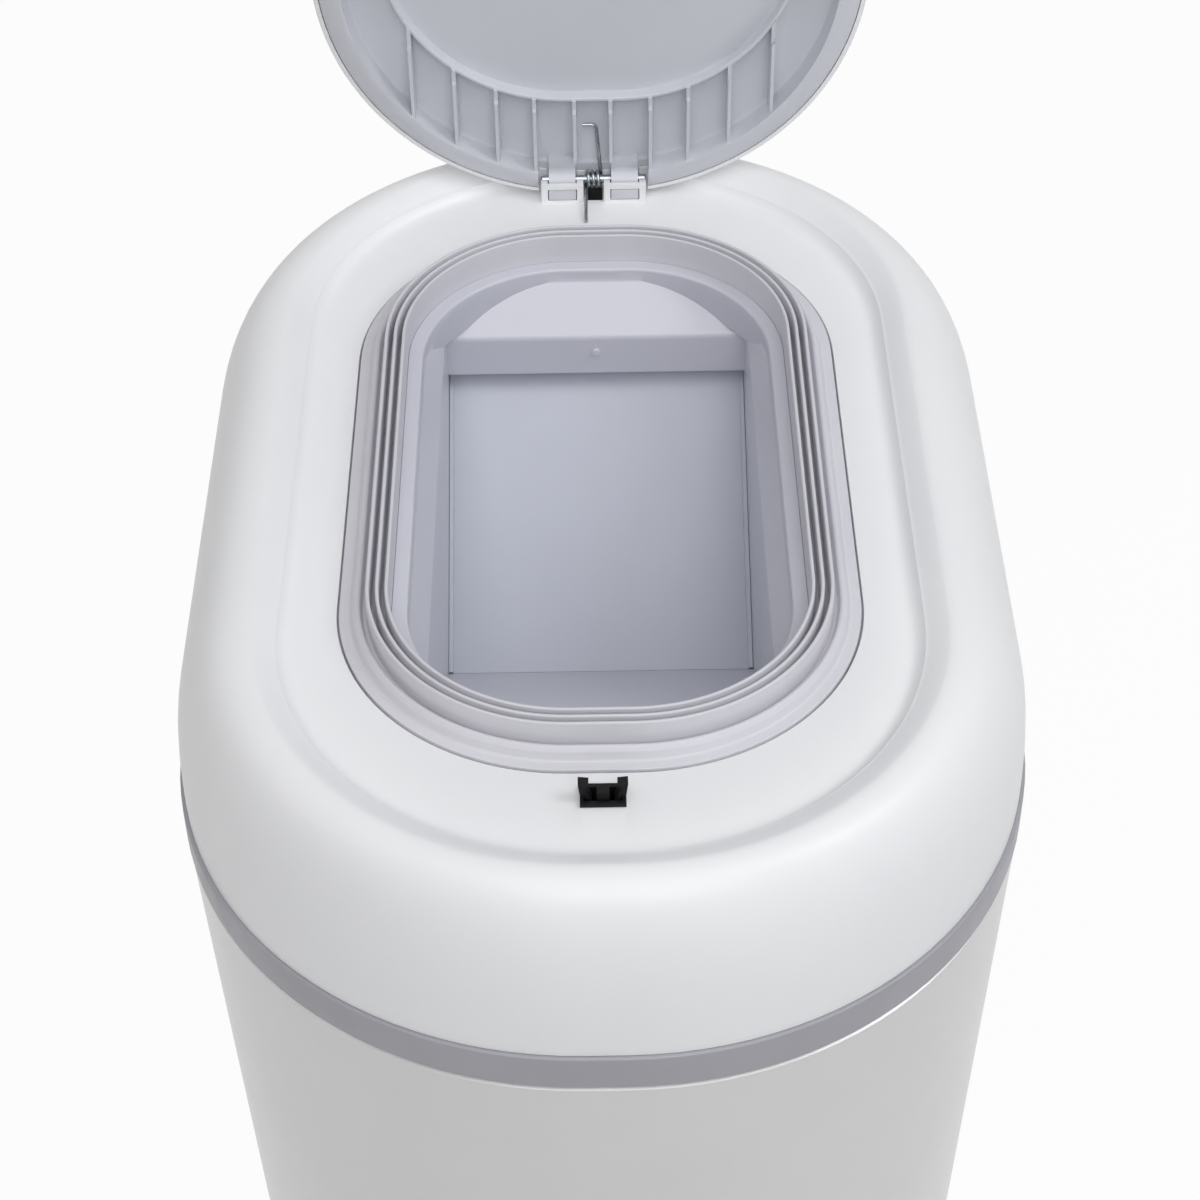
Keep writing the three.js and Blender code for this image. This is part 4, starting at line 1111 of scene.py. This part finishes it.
# Latch
HOUSING_LOW = DECK - 20.0
HOUSING_TOP = DECK + 1.5
HOUSING_FLOOR = 1.0
BEZEL_HALF_WIDTH, BEZEL_HALF_DEPTH = 6.95, 4.4
CAVITY_HALF_WIDTH, CAVITY_HALF_DEPTH = 5.8, 2.8
PIVOT_X = 4.5
PIVOT_Z = DECK - 7.0
PIVOT_RADIUS = 0.8
PIVOT_SIDES = 20
MOVER_Y = (LATCH_Y - 2.3, LATCH_Y + 1.2)
PLUNGER_LOW = DECK - 10.5
PLUNGER_TOP = DECK + 4.5
PLUNGER_STEM, PLUNGER_FOOT = 2.0, 2.7
PLUNGER_FOOT_HEIGHT = 2.4
COIL_RADIUS = 1.9
COIL_WIRE = 0.35
COIL_TURNS = 4
COIL_STEPS = 28
COIL_SEAT = 0.65

# Right jaw as (x, height above the deck)
JAW = [
    (3.6, -9.0),
    (5.4, -9.0),
    (5.4, 2.1),
    (6.9, 2.9),
    (7.5, 7.8),
    (4.3, 7.4),
    (4.3, 6.8),
    (5.6, 6.2),
    (3.3, 1.0),
]


def latch_block(half_width, half_depth, low, high):
    return box((-half_width, half_width), (LATCH_Y - half_depth, LATCH_Y + half_depth), (low, high))


def latch_pivot(side, radius, half):
    return disc(radius, LATCH_Y - half, LATCH_Y + half, (side * PIVOT_X, PIVOT_Z), "y", PIVOT_SIDES)


def latch_housing():
    """A case with a collar on the deck, a cavity, and bores for the jaws' pivots."""
    body = latch_block(HOUSING_HALF_WIDTH, HOUSING_HALF_DEPTH, HOUSING_LOW, HOUSING_TOP)
    bezel = latch_block(BEZEL_HALF_WIDTH, BEZEL_HALF_DEPTH, DECK + GAP, HOUSING_TOP)
    cavity = latch_block(CAVITY_HALF_WIDTH, CAVITY_HALF_DEPTH, HOUSING_LOW + HOUSING_FLOOR, DECK + 4.0)
    pivots = [latch_pivot(side, PIVOT_RADIUS + GAP, 6.0) for side in (-1, 1)]
    return bevelled(cut(join(body, bezel), cavity, *pivots), 0.25)


def latch_plunger():
    """A stem on a wider foot."""
    shoulder = PLUNGER_LOW + PLUNGER_FOOT_HEIGHT
    profile = mirrored([
        (PLUNGER_FOOT, PLUNGER_LOW),
        (PLUNGER_FOOT, shoulder),
        (PLUNGER_STEM, shoulder),
        (PLUNGER_STEM, PLUNGER_TOP),
    ])
    return bevelled(prism(profile, *MOVER_Y, "y"), 0.3)


def latch_jaw(side):
    """A hooked arm on its pivot."""
    arm = prism([(side * x, DECK + rise) for x, rise in JAW], *MOVER_Y, "y")
    return bevelled(join(arm, latch_pivot(side, PIVOT_RADIUS, HOUSING_HALF_DEPTH)), 0.25)


def latch_spring():
    low, high = HOUSING_LOW + HOUSING_FLOOR + COIL_SEAT, PLUNGER_LOW - COIL_SEAT
    path = []
    for step in range(COIL_TURNS * COIL_STEPS + 1):
        share = step / (COIL_TURNS * COIL_STEPS)
        turn = share * COIL_TURNS * 2 * math.pi
        x, y = COIL_RADIUS * math.cos(turn), COIL_RADIUS * math.sin(turn)
        path.append((x, LATCH_Y + y, low + (high - low) * share))
    return tube(path, COIL_WIRE, 10)


piece("latch_case", latch_housing(), "black_plastic", "cover", ["latch_housing"])
piece("latch_coil", latch_spring(), "steel", "cover", ["latch_spring"])
piece("latch_button", latch_plunger(), "black_plastic", "plunger", ["latch_plunger"])
piece("latch_jaw_left", latch_jaw(-1), "black_plastic", "left_jaw", ["jaw_left"])
piece("latch_jaw_right", latch_jaw(1), "black_plastic", "right_jaw", ["jaw_right"])

# Lid, made shut and then swung open
PANEL_EDGE = inset(LID_EDGE, 2.0)
PANEL_HOLLOW = 8.4
FLOOR_Z = DECK + 11.9
PANEL_TOP = FLOOR_Z + 1.8
LID_TOP = DECK + 18.2
LID_WALL = 1.8
RIB_PLACES = (6.8, 21.8, 36.0, 51.3, 67.0)
RIB_LOW = DECK + 3.0
RIB_HALF_TIP, RIB_HALF_ROOT = 0.6, 0.95
RIB_MIDDLE = 8.2
RIB_SEAL_REACH, RIB_SEAL_RISE = 4.1, 5.5
RIB_LATCH_ROOM = (9.5, 6.5)
NOTCH_HALF_WIDTH = 21.0
NOTCH_FRONT = 9.5
NOTCH_RISE = 4.0
ARM = 8.2
ARM_LOW = DECK + 8.3
DOME_LOW = DECK + 8.0
DOME_STEPS = 20
DOME_ROUNDING = 0.35
STRIKER_HALF_DEPTH = 2.2

# Right half of the striker as (x, height above the deck)
STRIKER = [
    (2.7, 4.9),
    (2.7, 6.3),
    (1.2, 6.3),
    (1.2, 10.8),
    (4.0, 10.8),
    (4.0, 11.6),
]


def notch():
    """Room in the lid's rear edge for the lugs on the cover."""
    across = (-NOTCH_HALF_WIDTH, NOTCH_HALF_WIDTH)
    return box(across, (HINGE_Y - NOTCH_FRONT, LID_EDGE[1] + 5.0), (DECK - 5.0, HINGE_Z + NOTCH_RISE))


def column(plan, distance, low, high):
    return stack([at(plan, distance, low), at(plan, distance, high)])


def lid_ribs():
    """Ribs along the lid, kept clear of its middle, the latch and the seal."""
    root = FLOOR_Z + GAP
    shapes = []
    for place in RIB_PLACES:
        for x in (place, -place):
            draft = [
                (x - RIB_HALF_TIP, RIB_LOW),
                (x + RIB_HALF_TIP, RIB_LOW),
                (x + RIB_HALF_ROOT, root),
                (x - RIB_HALF_ROOT, root),
            ]
            shapes.append(prism(draft, -PANEL_EDGE[1], PANEL_EDGE[1], "y"))
    field = column(PANEL_EDGE, PANEL_HOLLOW - 1.0, DECK, PANEL_TOP)
    middle = column(HOLE, RIB_MIDDLE, DECK - OVERRUN, PANEL_TOP)
    latch_room = latch_block(*RIB_LATCH_ROOM, DECK, FLOOR_Z + OVERRUN)
    seal_room = column(HOLE, RIB_SEAL_REACH, DECK - OVERRUN, DECK + RIB_SEAL_RISE)
    return common(cut(gather(*shapes), middle, latch_room, seal_room), field)


def lid_arm(low, high):
    """An arm from the lid's hollow to the knuckle, stepped to lie on the lid's floor."""
    seat = PANEL_EDGE[1] - PANEL_HOLLOW
    profile = [
        (HINGE_Y - ARM, ARM_LOW),
        (HINGE_Y, ARM_LOW),
        (HINGE_Y, HINGE_Z + KNUCKLE),
        (seat, HINGE_Z + KNUCKLE),
        (seat, FLOOR_Z + GAP),
        (HINGE_Y - ARM, FLOOR_Z + GAP),
    ]
    return prism(profile, low, high, "x")


def lid_panel():
    """The lid's underside: a dished plate with ribs, a rim, and two hinge arms."""
    hollow = inset(PANEL_EDGE, PANEL_HOLLOW)
    plate = stack([
        at(PANEL_EDGE, 6.4, DECK + 1.4),
        at(PANEL_EDGE, 0.3, DECK + 4.7),
        at(PANEL_EDGE, 0, DECK + 5.2),
        at(PANEL_EDGE, 0, DECK + 6.5),
        at(PANEL_EDGE, 4.0, DECK + 9.5),
        at(PANEL_EDGE, 10.0, PANEL_TOP),
    ])
    pocket = stack([
        at(hollow, 0, DECK - OVERRUN),
        at(hollow, 0, FLOOR_Z - 1.5),
        at(hollow, 0.4, FLOOR_Z - 0.5),
        at(hollow, 1.4, FLOOR_Z),
    ])
    rim = section(HOLE, [
        (7.5, DECK + 6.5, 0.4),
        (7.5, FLOOR_Z + 0.9, 0),
        (8.9, FLOOR_Z + 0.9, 0),
        (8.9, DECK + 6.5, 0.4),
    ])
    body = cut(join(cut(plate, pocket), lid_ribs(), rim), notch())
    for side in (-1, 1):
        low, high = knuckle_span(side, KNUCKLE_GAP)
        knuckle = disc(KNUCKLE, low, high, (HINGE_Y, HINGE_Z), "x", 40)
        body = join(body, knuckle, lid_arm(low, high))
    return bevelled(cut(body, pin_bore()), 0.3, 2, 45.0)


def dome_row(step):
    """One row of the lid's outside, from its edge at 0 to its top."""
    turn = step / DOME_STEPS * math.pi / 2
    reach = (LID_EDGE[2] - 2.0) * (1 - math.cos(turn)) * DOME_ROUNDING
    return at(LID_EDGE, reach, DOME_LOW + (LID_TOP - DOME_LOW) * math.sin(turn))


def lid_cover():
    """The lid's domed outside, hollowed for the panel and the hinge arms."""
    foot = [at(LID_EDGE, 0.4, DECK + 5.0), at(LID_EDGE, 0, DECK + 5.4)]
    outer = stack(foot + [dome_row(step) for step in range(DOME_STEPS + 1)])
    room = inset(LID_EDGE, 1.7)
    pocket = stack([
        at(room, 0, DECK),
        at(room, 0, DECK + 6.8),
        at(room, 4.0, DECK + 9.8),
        at(room, 10.0, PANEL_TOP + GAP),
        at(room, 28.0, LID_TOP - LID_WALL),
    ])
    arm_rooms = []
    for side in (-1, 1):
        span = knuckle_span(side)
        arm_rooms.append(disc(KNUCKLE + GAP, *span, (HINGE_Y, HINGE_Z), "x", 40))
        arm_rooms.append(box(span, (HINGE_Y - ARM, HINGE_Y), (DECK, HINGE_Z + KNUCKLE + GAP)))
    return cut(outer, pocket, notch(), *arm_rooms)


def lid_striker():
    """The tee that hangs under the lid's front edge."""
    profile = mirrored([(x, DECK + rise) for x, rise in STRIKER])
    return bevelled(prism(profile, LATCH_Y - STRIKER_HALF_DEPTH, LATCH_Y + STRIKER_HALF_DEPTH, "y"), 0.2)


piece("lid_underside", turned_lid(lid_panel()), "underside_plastic", "lid", ["lid_panel"])
piece("lid_skin", turned_lid(lid_cover()), "white_plastic", "lid", ["lid_cover"])
piece("lid_hook", turned_lid(lid_striker()), "black_plastic", "lid", ["lid_striker"])

# Floor, world and lamps, in metres and watts
FLOOR_SIZE = 60.0
FLOOR_GLOW = 0.95
FLOOR_COLOUR = (0.86, 0.86, 0.86, 1.0)
WORLD_LIGHT = (0.97, 0.98, 1.0, 1.0)
WORLD_STRENGTH = 0.31
WHITE = (1.0, 1.0, 1.0, 1.0)


def backdrop_share(tree):
    """1 for rays that show the background: camera, glossy and transmission rays."""
    path = node(tree, "ShaderNodeLightPath")
    first = node(tree, "ShaderNodeMath", operation="MAXIMUM")
    second = node(tree, "ShaderNodeMath", operation="MAXIMUM")
    tree.links.new(path.outputs["Is Camera Ray"], first.inputs[0])
    tree.links.new(path.outputs["Is Glossy Ray"], first.inputs[1])
    tree.links.new(first.outputs[0], second.inputs[0])
    tree.links.new(path.outputs["Is Transmission Ray"], second.inputs[1])
    return second.outputs[0]


def blended(tree, share, first, second):
    mix = node(tree, "ShaderNodeMixShader")
    for number, source in enumerate((share, first, second)):
        tree.links.new(source, mix.inputs[number])
    return mix.outputs[0]


def make_floor():
    half = FLOOR_SIZE / 2
    corners = [(-half, -half, 0), (half, -half, 0), (half, half, 0), (-half, half, 0)]
    mesh = bpy.data.meshes.new("floor")
    mesh.from_pydata(corners, [], [(0, 1, 2, 3)])
    floor = link(bpy.data.objects.new("floor", mesh))
    material = bpy.data.materials.new("floor")
    material.use_nodes = True
    tree = material.node_tree
    tree.nodes.remove(tree.nodes["Principled BSDF"])
    matt = node(tree, "ShaderNodeBsdfDiffuse")
    matt.inputs["Color"].default_value = FLOOR_COLOUR
    glow = node(tree, "ShaderNodeEmission")
    share = node(tree, "ShaderNodeMath", operation="MULTIPLY")
    tree.links.new(backdrop_share(tree), share.inputs[0])
    share.inputs[1].default_value = FLOOR_GLOW
    surface = blended(tree, share.outputs[0], matt.outputs[0], glow.outputs[0])
    tree.links.new(surface, tree.nodes["Material Output"].inputs["Surface"])
    mesh.materials.append(material)


def make_world():
    world = bpy.data.worlds.new("studio")
    bpy.context.scene.world = world
    world.use_nodes = True
    tree = world.node_tree
    light = tree.nodes["Background"]
    light.inputs["Color"].default_value = WORLD_LIGHT
    light.inputs["Strength"].default_value = WORLD_STRENGTH
    white = node(tree, "ShaderNodeBackground")
    white.inputs["Color"].default_value = WHITE
    surface = blended(tree, backdrop_share(tree), light.outputs[0], white.outputs[0])
    tree.links.new(surface, tree.nodes["World Output"].inputs["Surface"])


def lamp(name, place, target, size, power, colour=(1.0, 1.0, 1.0)):
    data = bpy.data.lights.new(name, "AREA")
    data.shape = "RECTANGLE"
    data.size, data.size_y = size
    data.energy = power
    data.color = colour
    obj = link(bpy.data.objects.new(name, data))
    obj.location = place
    obj.rotation_euler = (Vector(target) - Vector(place)).to_track_quat("-Z", "Y").to_euler()


MIDDLE = (0.0, 0.0, 0.55)
THROAT = (0.0, -0.1, 0.55)

make_floor()
make_world()
lamp("front", (0.2, -2.0, 2.0), MIDDLE, (1.4, 1.0), 14.5)
lamp("right", (1.4, -0.4, 2.1), MIDDLE, (0.8, 0.9), 10.5, (0.97, 0.985, 1.0))
lamp("left", (-1.5, -0.3, 1.8), MIDDLE, (1.0, 1.2), 1.6, (1.0, 0.88, 0.76))
lamp("top", (0.1, -0.9, 2.5), THROAT, (1.6, 1.4), 11.5)
lamp("rear", (0.3, 1.0, 2.4), THROAT, (2.2, 1.2), 1.2)
bpy.context.scene.view_settings.view_transform = "Standard"

bpy.context.view_layer.update()
